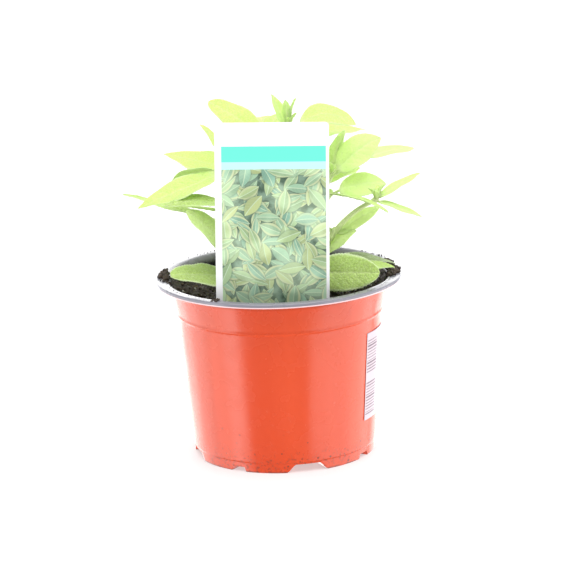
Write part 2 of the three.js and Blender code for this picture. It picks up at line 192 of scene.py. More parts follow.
@dataclass
class Patch:
    """Points (n, 3) in millimetres, faces as arrays (m, corners), and named values at points."""

    points: np.ndarray
    faces: list[np.ndarray]
    values: dict[str, np.ndarray] = field(default_factory=dict)

    @staticmethod
    def joined(patches: Sequence["Patch"]) -> "Patch":
        """One patch that holds all of the given ones.

        Args:
            patches: The patches. A value that one of them lacks is 0 there.

        Returns:
            The joined patch.
        """
        starts = np.cumsum([0] + [len(patch.points) for patch in patches[:-1]])
        faces = [f + start for patch, start in zip(patches, starts) for f in patch.faces]
        names = sorted({name for patch in patches for name in patch.values})
        values = {
            name: np.concatenate(
                [patch.values.get(name, np.zeros(len(patch.points))) for patch in patches]
            )
            for name in names
        }
        return Patch(np.concatenate([patch.points for patch in patches]), faces, values)

    @staticmethod
    def loft(rings: np.ndarray) -> "Patch":
        """A closed skin over rings of points, each end closed by a fan about its ring's mean.

        Args:
            rings: Points (rings, count, 3). The rings run counter-clockwise about the way from
                the first ring to the last.

        Returns:
            The skin, with the two middle points last.
        """
        count, around = rings.shape[:2]
        row = np.arange(count - 1)[:, None] * around
        turn = np.arange(around)
        follow = (turn + 1) % around
        corners = (row + turn, row + follow, row + around + follow, row + around + turn)
        quads = np.stack(corners, -1).reshape(-1, 4)
        first = count * around
        top = first - around
        points = np.concatenate([rings.reshape(-1, 3), rings[[0, -1]].mean(1)])
        bottom_fan = np.stack([follow, turn, np.full(around, first)], -1)
        top_fan = np.stack([top + turn, top + follow, np.full(around, first + 1)], -1)
        return Patch(points, [quads, bottom_fan, top_fan])

    def with_values(self, **values: np.ndarray) -> "Patch":
        """Adds named values.

        Args:
            **values: An array with a value for each ring point, or one number. The cap points
                take the mean.

        Returns:
            The patch itself.
        """
        for name, value in values.items():
            flat = np.ravel(np.asarray(value, float))
            missing = len(self.points) - len(flat)
            if len(flat) == 1:
                flat = np.full(len(self.points), flat[0])
            elif missing:
                flat = np.concatenate([flat, np.full(missing, flat.mean())])
            self.values[name] = flat
        return self


def linked(name: str, data: bpy.types.ID) -> bpy.types.Object:
    """Adds an object to the scene.

    Args:
        name: Its name.
        data: Its mesh, light or camera.

    Returns:
        The object.
    """
    thing = bpy.data.objects.new(name, data)
    bpy.context.scene.collection.objects.link(thing)
    return thing


class Place:
    """Turns patches into pieces of the model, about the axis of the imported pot."""

    def __init__(self) -> None:
        """Finds the pot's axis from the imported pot's box."""
        low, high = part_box("pot")
        self.axis = Vector(((low.x + high.x) / 2, (low.y + high.y) / 2, 0))

    def mesh(self, name: str, patch: Patch, sharp: float | None) -> bpy.types.Object:
        """Makes an object whose mesh is the patch, in metres, with smooth faces.

        Args:
            name: The object's name.
            patch: Its shape.
            sharp: The angle in degrees from which an edge stays sharp, or None.

        Returns:
            The object, at the origin, unturned and unscaled.
        """
        mesh = bpy.data.meshes.new(name)
        places = patch.points * MM + np.array(self.axis)
        corners = np.concatenate([face.ravel() for face in patch.faces]).astype(np.int32)
        sizes = np.concatenate([np.full(len(face), face.shape[1]) for face in patch.faces])
        mesh.vertices.add(len(places))
        mesh.vertices.foreach_set("co", places.astype(np.float32).ravel())
        mesh.loops.add(len(corners))
        mesh.loops.foreach_set("vertex_index", corners)
        mesh.polygons.add(len(sizes))
        starts = np.concatenate([[0], np.cumsum(sizes)[:-1]]).astype(np.int32)
        mesh.polygons.foreach_set("loop_start", starts)
        mesh.polygons.foreach_set("use_smooth", np.ones(len(sizes), bool))
        mesh.update(calc_edges=True)
        for key, value in patch.values.items():
            attribute = mesh.attributes.new(key, "FLOAT", "POINT")
            attribute.data.foreach_set("value", value.astype(np.float32))
        if sharp is not None:
            mesh.set_sharp_from_angle(angle=math.radians(sharp))
        mesh.validate()
        return linked(name, mesh)

    def piece(
        self,
        name: str,
        patch: Patch,
        material: bpy.types.Material,
        slot: Slot,
        replaces: Sequence[str] = (),
        sharp: float | None = None,
    ) -> bpy.types.Object:
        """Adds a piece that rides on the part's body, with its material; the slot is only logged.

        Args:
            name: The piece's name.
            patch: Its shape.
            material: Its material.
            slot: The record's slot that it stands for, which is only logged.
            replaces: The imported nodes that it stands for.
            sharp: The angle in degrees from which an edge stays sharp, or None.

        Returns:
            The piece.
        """
        piece = self.mesh(name, patch, sharp)
        piece.data.materials.append(material)
        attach(piece, "root")
        if replaces:
            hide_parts(*replaces)
        LOG.info("%s: %d points, %s", name, len(patch.points), slot.value)
        return piece


# ---- Shader maths --------------------------------------------------------------------------------


class Signal:
    """A node's value socket in arithmetic: each operator adds a Math node."""

    def __init__(self, shader: "Shader", socket: bpy.types.NodeSocket) -> None:
        """Keeps the socket and the shader that its nodes go to."""
        self.shader = shader
        self.socket = socket

    def math(self, operation: str, *others: Any, first: Any = None) -> "Signal":
        """This value and the others through one Math node.

        Args:
            operation: The Math node's operation.
            *others: Further inputs, signals or numbers.
            first: What comes before this value, for the reflected operators.

        Returns:
            The node's result.
        """
        inputs = [self, *others] if first is None else [first, self, *others]
        node = self.shader.add(
            "ShaderNodeMath", {"operation": operation}, dict(enumerate(inputs))
        )
        return Signal(self.shader, node.outputs[0])

    def __add__(self, other: Any) -> "Signal":
        """self + other."""
        return self.math("ADD", other)

    __radd__ = __add__

    def __mul__(self, other: Any) -> "Signal":
        """self * other."""
        return self.math("MULTIPLY", other)

    __rmul__ = __mul__

    def __sub__(self, other: Any) -> "Signal":
        """self - other."""
        return self.math("SUBTRACT", other)

    def __rsub__(self, other: Any) -> "Signal":
        """other - self."""
        return self.math("SUBTRACT", first=other)

    def __truediv__(self, other: Any) -> "Signal":
        """self / other."""
        return self.math("DIVIDE", other)

    def __neg__(self) -> "Signal":
        """-self."""
        return self.math("MULTIPLY", -1.0)

    def __abs__(self) -> "Signal":
        """The distance from zero."""
        return self.math("ABSOLUTE")

    def __lt__(self, other: Any) -> "Signal":
        """1 where self is less than other, else 0."""
        return self.math("LESS_THAN", other)

    def __gt__(self, other: Any) -> "Signal":
        """1 where self is more than other, else 0."""
        return self.math("GREATER_THAN", other)

    def power(self, exponent: float) -> "Signal":
        """This value to a power."""
        return self.math("POWER", exponent)

    def most(self, other: Any) -> "Signal":
        """The greater of this value and another."""
        return self.math("MAXIMUM", other)

    def least(self, other: Any) -> "Signal":
        """The smaller of this value and another."""
        return self.math("MINIMUM", other)

    def step(self, low: float, high: float, start: float = 0, end: float = 1) -> "Signal":
        """A soft step.

        Args:
            low: The value up to which the result is start.
            high: The value from which it is end.
            start: The result below the step.
            end: The result above it.

        Returns:
            The step's result.
        """
        node = self.shader.add(
            "ShaderNodeMapRange",
            {"interpolation_type": "SMOOTHSTEP"},
            {"Value": self, 1: low, 2: high, 3: start, 4: end},
        )
        return Signal(self.shader, node.outputs[0])


def add_node(
    tree: bpy.types.NodeTree,
    kind: str,
    settings: dict[str, Any] | None = None,
    sockets: dict[str | int, Any] | None = None,
) -> bpy.types.Node:
    """Adds a node to a tree.

    Args:
        tree: The tree.
        kind: The node's type.
        settings: Its settings. "stops" is a ramp's list of (place, colour).
        sockets: The value of, or the link to, each input by name or number.

    Returns:
        The node.
    """
    node = tree.nodes.new(kind)
    for key, value in (settings or {}).items():
        if key != "stops":
            setattr(node, key, value)
            continue
        elements = node.color_ramp.elements
        while len(elements) < len(value):
            elements.new(0.5)
        for element, (place, colour) in zip(elements, value):
            element.position = place
            element.color = (*colour, 1)
    for key, value in (sockets or {}).items():
        source = value.socket if isinstance(value, Signal) else value
        if isinstance(source, bpy.types.NodeSocket):
            tree.links.new(source, node.inputs[key])
        elif isinstance(source, tuple) and len(node.inputs[key].default_value) == 4:
            node.inputs[key].default_value = (*source, 1)
        else:
            node.inputs[key].default_value = source
    return node


class Shader:
    """A material's node tree, built node by node."""

    def __init__(self, name: str, axis: Vector) -> None:
        """Starts an empty tree.

        Args:
            name: The material's name.
            axis: The pot's axis, which patterns are laid out about.
        """
        self.material = bpy.data.materials.new(name)
        self.material.use_nodes = True
        self.tree = self.material.node_tree
        self.tree.nodes.clear()
        coordinates = self.add("ShaderNodeTexCoord").outputs["Object"]
        centred = self.add(
            "ShaderNodeVectorMath", {"operation": "SUBTRACT"}, {0: coordinates, 1: tuple(axis)}
        )
        scaled = self.add(
            "ShaderNodeVectorMath", {"operation": "SCALE"}, {0: centred.outputs[0], "Scale": 1000}
        )
        self.place = scaled.outputs[0]
        self.x, self.y, self.z = self.split(self.place)

    def add(
        self,
        kind: str,
        settings: dict[str, Any] | None = None,
        sockets: dict[str | int, Any] | None = None,
    ) -> bpy.types.Node:
        """Adds a node to the material's tree, with the settings and sockets of add_node."""
        return add_node(self.tree, kind, settings, sockets)

    def split(self, vector: bpy.types.NodeSocket) -> tuple[Signal, Signal, Signal]:
        """The three parts of a vector."""
        node = self.add("ShaderNodeSeparateXYZ", {}, {0: vector})
        return tuple(Signal(self, output) for output in node.outputs)

    def vector(self, x: Any, y: Any, z: Any) -> bpy.types.NodeSocket:
        """A vector of three values."""
        return self.add("ShaderNodeCombineXYZ", {}, {0: x, 1: y, 2: z}).outputs[0]

    def stretched(self, x: float, y: float, z: float) -> bpy.types.NodeSocket:
        """The place about the pot's axis, in millimetres, each part times a factor."""
        sockets = {0: self.place, 1: (x, y, z)}
        return self.add("ShaderNodeVectorMath", {"operation": "MULTIPLY"}, sockets).outputs[0]

    def noise(
        self, size: float, detail: float = 2, vector: Any = None, rough: float = 0.5
    ) -> Signal:
        """Noise from 0 to 1.

        Args:
            size: The rough width of its bumps in millimetres.
            detail: How many finer layers it has.
            vector: Where it is read, or None for the place about the pot's axis.
            rough: How strong each finer layer is.

        Returns:
            The noise.
        """
        sockets = {
            "Vector": vector or self.place,
            "Scale": 1 / size,
            "Detail": detail,
            "Roughness": rough,
        }
        return Signal(self, self.add("ShaderNodeTexNoise", {}, sockets).outputs[0])

    def cells(self, size: float, feature: str = "F1", vector: Any = None) -> Signal:
        """A distance within Voronoi cells.

        Args:
            size: The cells' rough width in millimetres.
            feature: What the distance is measured to.
            vector: Where it is read, or None for the place about the pot's axis.

        Returns:
            The distance, in cell widths.
        """
        sockets = {"Vector": vector or self.place, "Scale": 1 / size}
        node = self.add("ShaderNodeTexVoronoi", {"feature": feature}, sockets)
        return Signal(self, node.outputs["Distance"])

    def value(self, name: str) -> Signal:
        """A named value of the mesh's points."""
        node = self.add("ShaderNodeAttribute", {"attribute_name": name})
        return Signal(self, node.outputs["Fac"])

    def mix(self, share: Any, first: Any, second: Any) -> bpy.types.NodeSocket:
        """A colour between two colours."""
        sockets = {0: share, 6: first, 7: second}
        return self.add("ShaderNodeMix", {"data_type": "RGBA"}, sockets).outputs[2]

    def ramp(self, share: Any, stops: list) -> bpy.types.NodeSocket:
        """A colour ramp's colour."""
        return self.add("ShaderNodeValToRGB", {"stops": stops}, {0: share}).outputs[0]

    def surface(
        self, colour: Any, rough: Any, relief: Signal, fixed: dict[str, Any] | None = None
    ) -> bpy.types.NodeSocket:
        """The main shader.

        Args:
            colour: Base colour.
            rough: Roughness.
            relief: The relief's height in millimetres.
            fixed: Further sockets that are the same all over.

        Returns:
            The shader's output.
        """
        bumped = self.add("ShaderNodeBump", {}, {"Height": relief, "Distance": MM}).outputs[0]
        sockets = {"Base Color": colour, "Roughness": rough, "Normal": bumped, **(fixed or {})}
        return self.add("ShaderNodeBsdfPrincipled", {}, sockets).outputs[0]

    def done(self, shader: bpy.types.NodeSocket) -> bpy.types.Material:
        """Joins a shader to the material's output."""
        self.add("ShaderNodeOutputMaterial", {}, {"Surface": shader})
        return self.material


# ---- Finishes ------------------------------------------------------------------------------------


def shade(colour: Colour, factor: float) -> Colour:
    """A colour, lighter or darker by a factor."""
    return tuple(part * factor for part in colour)


@dataclass(frozen=True)
class PotPlastic:
    """Glossy thermoformed sheet, terracotta outside and grey inside, with dirt, scratches, painted
    shade and a painted highlight.
    """

    terracotta: Colour = (0.60, 0.054, 0.009)
    flushed: Colour = (0.64, 0.066, 0.014)
    # grey: the dark lining, darker still as painted shade down inside the pot.
    grey: Colour = (0.012, 0.012, 0.017)
    rim_grey: Colour = (0.20, 0.195, 0.23)
    lip_painted_highlight: Colour = (0.78, 0.56, 0.58)
    dirt: Colour = (0.19, 0.026, 0.010)
    scratch: Colour = (0.85, 0.33, 0.22)

    def material(self, axis: Vector) -> bpy.types.Material:
        """Makes the material for a mesh with the value "lining", 1 on the grey side.

        Args:
            axis: The pot's axis.

        Returns:
            The material.
        """
        s = Shader("pot_plastic", axis)
        flow = s.noise(22, 3, s.stretched(1, 1, 0.22))
        outside = s.mix(flow.step(0.3, 0.75), self.terracotta, self.flushed)
        height = s.z
        low = height.step(20, 3)
        grime = (s.noise(1.6, 4, rough=0.7) + low * 0.12).step(0.64, 0.74) * low
        specks = (s.cells(6.5) < 0.1) * s.noise(17).step(0.42, 0.5) * height.step(34, 12)
        fine = (s.cells(2.3) < 0.2) * s.noise(6).step(0.46, 0.54) * height.step(17, 5)
        seam = height.step(1.1, 0.3) * s.noise(4).step(0.3, 0.5)
        dirty = (grime * 0.7 + specks * 0.9 + fine * 0.85 + seam * 0.8).least(0.92)
        slanted = s.vector(s.x * 0.9 + s.z * 0.35, s.y, s.z * 0.16 - s.x * 0.06)
        marks = (s.cells(5, "DISTANCE_TO_EDGE", slanted) < 0.004) * s.noise(4.5).step(0.58, 0.66)
        outside = s.mix(marks * 0.45 * height.step(60, 20), outside, self.scratch)
        outside = s.mix(dirty, outside, self.dirt)
        lining = s.value("lining")
        # A darker band under the rim's roll: a painted shadow.
        painted_shadow_under_roll = height.step(88.8, 90.4) * 0.4
        outside = s.mix(painted_shadow_under_roll, outside, shade(self.terracotta, 0.45))
        # Near black down inside the pot, grey at the rim: painted shade in the pot.
        inside = s.mix(height.step(90.5, 94), self.grey, self.rim_grey)
        radius = (s.x * s.x + s.y * s.y).power(0.5)
        # The lowest part of the outer lip goes pale pink: a painted highlight.
        inside = s.mix((radius > 64.2) * height.step(93.5, 93.2), inside, self.lip_painted_highlight)
        colour = s.mix(lining.step(0.45, 0.55), outside, inside)
        rough = s.noise(9, 3) * 0.14 + 0.2 + dirty * 0.08
        relief = s.noise(0.9, 2) * 0.006 + s.noise(14, 1, s.stretched(1, 1, 0.12)) * 0.12
        relief = relief - marks * 0.02 + dirty * 0.01
        return s.done(s.surface(colour, rough, relief))


@dataclass(frozen=True)
class Compost:
    """Dark damp potting compost: near-black peat with brown and grey grains."""

    dark: Colour = (0.012, 0.009, 0.008)
    brown: Colour = (0.05, 0.038, 0.03)
    pale: Colour = (0.17, 0.135, 0.105)

    def material(self, axis: Vector) -> bpy.types.Material:
        """Makes the material: clods in a ramp of browns, with paler grains.

        Args:
            axis: The pot's axis.

        Returns:
            The material.
        """
        s = Shader("compost", axis)
        clods = s.noise(2.4, 5, rough=0.75)
        stops = [(0.36, self.dark), (0.55, self.brown), (0.72, self.dark), (0.8, self.pale)]
        base = s.ramp(clods, stops)
        grains = (s.cells(0.9) < 0.2) * s.noise(1.7).step(0.55, 0.62)
        colour = s.mix(grains * 0.6, base, self.pale)
        relief = clods * 0.8 + s.noise(0.5, 3, rough=0.8) * 0.22 - s.cells(1.3) * 0.25
        return s.done(s.surface(colour, s.noise(1.2) * 0.3 + 0.6, relief))


@dataclass(frozen=True)
class Grain:
    """A loose bit in the compost: a bark crumb, a fibre or a bead of perlite."""

    name: str
    first: Colour
    second: Colour
    size: float
    rough: float

    def material(self, axis: Vector) -> bpy.types.Material:
        """Makes the material: two colours in patches of the grain's size, with a pitted relief.

        Args:
            axis: The pot's axis.

        Returns:
            The material.
        """
        s = Shader(self.name, axis)
        patches = s.noise(self.size, 4, rough=0.7)
        colour = s.mix(patches.step(0.35, 0.65), self.first, self.second)
        relief = patches * 0.3 + s.noise(self.size / 4, 2) * 0.1
        return s.done(s.surface(colour, patches * 0.2 + self.rough, relief))


BARK = Grain("bark_crumb", (0.014, 0.010, 0.008), (0.075, 0.045, 0.028), 1.4, 0.6)
PEAT_FIBRE = Grain("peat_fibre", (0.05, 0.03, 0.018), (0.34, 0.24, 0.14), 5.0, 0.55)
PERLITE = Grain("perlite", (0.62, 0.60, 0.55), (0.86, 0.85, 0.82), 0.9, 0.7)


@dataclass(frozen=True)
class SageLeaf:
    """Soft, finely haired leaf: pebbled above, paler with raised veins below, painted shade in
    creases and light on edges.
    """

    lime: Colour = (0.77, 0.95, 0.32)
    green: Colour = (0.40, 0.57, 0.13)
    sage: Colour = (0.13, 0.20, 0.055)
    below: Colour = (0.56, 0.66, 0.36)
    vein: Colour = (0.70, 0.78, 0.40)
    fuzz_and_painted_light: Colour = (0.80, 0.87, 0.62)
    stem: Colour = (0.55, 0.66, 0.30)
    wood: Colour = (0.22, 0.15, 0.08)
    glow: Colour = (0.74, 0.95, 0.27)

    def tint(self, s: Shader) -> bpy.types.NodeSocket:
        """The green of a leaf by its value for new growth, which also carries painted light and
        shade, with soft blotches.

        Args:
            s: The shader.

        Returns:
            The colour.
        """
        # Lime for new growth and as painted light on lit leaves; darker green for older growth and
        # as painted shade on shaded leaves.
        young = s.value("young") + (s.noise(6, 3) - 0.5) * 0.35
        old = s.value("grey")
        fresh_and_lit = s.ramp(young, [(0.0, self.green), (1.0, self.lime)])
        return s.mix(old, fresh_and_lit, self.sage)

    def material(self, axis: Vector) -> bpy.types.Material:
        """Makes the material for a mesh with the values of LeafSkin.patch.

        Args:
            axis: The pot's axis.

        Returns:
            The material.
        """
        s = Shader("sage_leaf", axis)
        upper = s.value("upper")
        vein = s.value("vein")
        pebble = s.value("pebble")
        edge = s.value("edge")
        colour = self.tint(s)
        grain = s.cells(0.95)
        # Darker green in the creases between cushions and between the fine bumps: painted shade,
        # weaker on new leaves.
        crease = ((1 - pebble) * 0.35 + grain.step(0.3, 0.75) * 0.45) * s.value("young").step(
            0, 1, 1.0, 0.45
        )
        colour = s.mix(crease, colour, shade(self.green, 0.55))
        colour = s.mix((1 - upper) * 0.55, colour, self.below)
        colour = s.mix(vein * (0.35 + (1 - upper) * 0.45), colour, self.vein)
        # Toward the fuzz's colour in patches of down and along the edges: pale hairs, and a painted
        # rim highlight on the edges.
        down = s.noise(0.45, 2).step(0.48, 0.7) * 0.34
        colour = s.mix(down + edge * 0.66, colour, self.fuzz_and_painted_light)
        # Paler by the leaf's pale value: down, and painted light on leaves set brighter.
        colour = s.mix(s.value("pale") * 0.7, colour, self.fuzz_and_painted_light)
        colour = s.mix(s.value("stem"), colour, self.stem)
        colour = s.mix(s.value("wood") * s.noise(1.5, 3).step(0.2, 0.5), colour, self.wood)
        relief = (0.7 - grain) * 0.26 * upper + s.noise(0.28, 2) * 0.06
        rough = 0.55 + s.noise(2.0) * 0.2
        fixed = {"Sheen Weight": 0.35, "Sheen Roughness": 0.5, "Specular IOR Level": 0.3}
        front = s.surface(colour, rough, relief, fixed)
        glow = s.mix(s.value("pale") * 0.6, self.glow, self.fuzz_and_painted_light)
        through = s.add("ShaderNodeBsdfTranslucent", {}, {"Color": glow}).outputs[0]
        share = s.value("young").step(0, 1, 0.22, 0.42) + s.value("pale") * 0.22
        share = share * (1 - s.value("stem")) * (1 - vein * 0.4)
        mixed = s.add("ShaderNodeMixShader", {}, {0: share, 1: front, 2: through})
        return s.done(mixed.outputs[0])


@dataclass(frozen=True)
class SageHair:
    """Short pale hairs on leaf edges, faces and stems."""

    pale: Colour = (0.86, 0.92, 0.72)
    green: Colour = (0.62, 0.76, 0.36)

    def material(self, axis: Vector) -> bpy.types.Material:
        """Makes the material, greener in patches.

        Args:
            axis: The pot's axis.

        Returns:
            The material.
        """
        s = Shader("sage_hair", axis)
        patches = s.noise(5, 2)
        colour = s.mix(patches.step(0.3, 0.7), self.pale, self.green)
        relief = s.noise(0.2, 1) * 0.02
        return s.done(s.surface(colour, patches * 0.2 + 0.5, relief))


@dataclass(frozen=True)
class LabelPlastic:
    """White printed plastic: a teal band, a pale band and a field of scattered leaf motifs."""

    white: Colour = (0.82, 0.83, 0.83)
    band: Colour = (0.13, 0.76, 0.585)
    pale_band: Colour = (0.47, 0.84, 0.86)
    ground: Colour = (0.055, 0.10, 0.065)
    shade: Colour = (0.22, 0.34, 0.25)
    leaf_greens: tuple[Colour, ...] = (
        (0.26, 0.50, 0.38),
        (0.38, 0.60, 0.40),
        (0.44, 0.60, 0.29),
        (0.60, 0.66, 0.28),
    )
    margin: Colour = (0.60, 0.66, 0.38)
    rib: Colour = (0.60, 0.76, 0.52)
    sunlit: Colour = (0.66, 0.84, 0.58)

    def motifs(
        self, s: Shader, across: Signal, up: Signal, size: float, turn: float, seed: float,
        under: Any,
    ) -> bpy.types.NodeSocket:
        """Lays one leaf motif in each square of a turned lattice over a print.

        A motif is the space between two parabolas, |b| < width (1 - (a / length)^2), in the
        square's own coordinates a and b, which are turned and shifted by the square's own chance.

        Args:
            s: The shader.
            across: Millimetres across the label.
            up: Millimetres up the label.
            size: The lattice's pitch in millimetres.
            turn: The lattice's turn in radians.
            seed: Shifts the lattice.
            under: The print below.

        Returns:
            The print's colour.
        """
        along = (across * math.cos(turn) + up * math.sin(turn)) / size + seed
        aside = (up * math.cos(turn) - across * math.sin(turn)) / size + seed * 1.7
        cell_a, cell_b = along.math("FLOOR"), aside.math("FLOOR")
        chance = s.add(
            "ShaderNodeTexWhiteNoise", {"noise_dimensions": "2D"},
            {"Vector": s.vector(cell_a, cell_b, 0)},
        )
        first, second, third = s.split(chance.outputs["Color"])
        here_a = along - cell_a - 0.5 - (first - 0.5) * 0.16
        here_b = aside - cell_b - 0.5 - (third - 0.5) * 0.16
        angle = second * (2 * math.pi)
        cosine, sine = angle.math("COSINE"), angle.math("SINE")
        a = here_a * cosine + here_b * sine
        b = here_b * cosine - here_a * sine
        bent = b + a * a * 0.5 * (first - 0.5)
        room = 1 - (a * 2.45).power(2)
        width = 0.13 + third * 0.09
        depth = abs(bent) / (width * room.most(0.02))
        inside = depth.step(1.04, 0.98) * (room > 0)
        greens = self.leaf_greens
        body = s.ramp(first, [(k / 3, colour) for k, colour in enumerate(greens)])
        body = s.mix((b > 0) * 0.25, body, self.ground)
        body = s.mix(depth.step(0.58, 0.74) * second.step(0.2, 0.6), body, self.margin)
        body = s.mix(abs(bent).step(0.016, 0.006), body, self.rib)
        veins = abs((a * 9 + abs(b) * 7).math("FRACT") - 0.5).step(0.06, 0.02)
        body = s.mix(veins * 0.3, body, self.rib)
        shadow = (depth.step(1.5, 1.0) * (room > 0)) * 0.45
        return s.mix(inside, s.mix(shadow, under, self.ground), body)

    def material(self, axis: Vector, label: "Label") -> bpy.types.Material:
        """Makes the material, printed on the side that faces the front.

        Args:
            axis: The pot's axis.
            label: The label, which has the places of the bands and the motifs.

        Returns:
            The material.
        """
        s = Shader("label_plastic", axis)
        lean = math.radians(label.lean)
        from_x, from_z = s.x - label.x, s.z - label.turned_at
        across = from_x * math.cos(lean) - from_z * math.sin(lean)
        down = label.top - label.turned_at - (from_x * math.sin(lean) + from_z * math.cos(lean))
        up = -1 * down
        mottle = s.noise(4.5, 3, s.vector(across, up, 0))
        print_ = s.mix(mottle.step(0.35, 0.65), self.ground, self.shade)
        for size, turn, seed in label.motif_layers:
            print_ = self.motifs(s, across, up, size, turn, seed, print_)
        half = label.width / 2
        inside = (across > label.left_margin - half) * (across < half - label.right_margin)
        bands = s.mix(inside * (down > label.band_from), self.white, self.band)
        bands = s.mix(inside * (down > label.band_to), bands, self.pale_band)
        groups = s.noise(19, 2, s.vector(across, up, 0)).step(0.38, 0.62)
        print_ = s.mix((1 - groups) * 0.27, print_, self.ground)
        print_ = s.mix(groups * 0.32, print_, self.sunlit)
        front = s.y < label.y
        printed = s.mix(inside * (down > label.print_from), bands, print_)
        colour = s.mix(front, self.white, printed)
        rough = s.noise(11, 2) * 0.08 + 0.3
        relief = s.noise(0.6, 2) * 0.004 + s.noise(16, 1) * 0.10
        return s.done(s.surface(colour, rough, relief))


@dataclass(frozen=True)
class StickerPaper:
    """Coated paper with plain bars of uneven width, and nothing else."""

    paper: Colour = (0.565, 0.475, 0.52)
    ink: Colour = (0.09, 0.04, 0.08)
    bar_pitch: float = 1.55

    def material(self, axis: Vector, sticker: "Sticker") -> bpy.types.Material:
        """Makes the material, with bars level round the pot in two groups.

        Args:
            axis: The pot's axis.
            sticker: The sticker, which has the places of the bars.

        Returns:
            The material.
        """
        s = Shader("sticker_paper", axis)
        angle = s.x.math("ARCTAN2", -s.y) * (180 / math.pi)
        height = s.z / self.bar_pitch
        line = height.math("FLOOR")
        chance = s.add(
            "ShaderNodeTexWhiteNoise", {"noise_dimensions": "1D"}, {"W": line + 4}
        ).outputs["Value"]
        groups = None
        for low, high in sticker.bar_groups:
            group = (s.z > low) * (s.z < high)
            groups = group if groups is None else groups + group
        reach = (angle > sticker.bars_from) * (angle < sticker.bars_to)
        bars = (height - line < Signal(s, chance) * 0.45 + 0.18) * groups * reach
        outer = s.value("outer").step(0.4, 0.6)
        worn = 0.92 - s.noise(0.7, 2).step(0.6, 0.8) * 0.35
        tone = s.mix(s.noise(7, 2), self.paper, shade(self.paper, 1.05))
        colour = s.mix(bars * outer * worn, tone, self.ink)
        rough = s.noise(3, 2) * 0.1 + 0.38
        relief = s.noise(0.25, 2) * 0.006 + s.noise(8, 1) * 0.05
        return s.done(s.surface(colour, rough, relief))


@dataclass(frozen=True)
class StudioFloor:
    """Matt white board, lit from within as a light table is."""

    white: Colour = (0.40, 0.40, 0.40)
    glow: float = 0.5

    def material(self, axis: Vector) -> bpy.types.Material:
        """Makes the material.

        Args:
            axis: The pot's axis.

        Returns:
            The material.
        """
        s = Shader("studio_floor", axis)
        tone = s.mix(s.noise(90, 2), self.white, shade(self.white, 0.985))
        lit = {"Emission Color": (1.0, 1.0, 1.0), "Emission Strength": self.glow}
        return s.done(s.surface(tone, s.noise(30) * 0.1 + 0.7, s.noise(2) * 0.01, lit))


# ---- Pot -----------------------------------------------------------------------------------------


@dataclass
class Gap:
    """An opening between feet: its widths at the bottom and the top, and its height."""

    bottom: float
    top: float
    height: float

    def rise(self, away: np.ndarray) -> np.ndarray:
        """How high the pot's edge lies in the gap.

        The sides run straight from the bottom width, 1 mm under the ground, to the top width.

        Args:
            away: Distances along the ring from the gap's middle.

        Returns:
            The heights.
        """
        slope = (self.height + 1) / ((self.bottom - self.top) / 2)
        straight = -1 + slope * (self.bottom / 2 - np.abs(away))
        return self.height * smooth(-0.12, 1.12, straight / self.height)


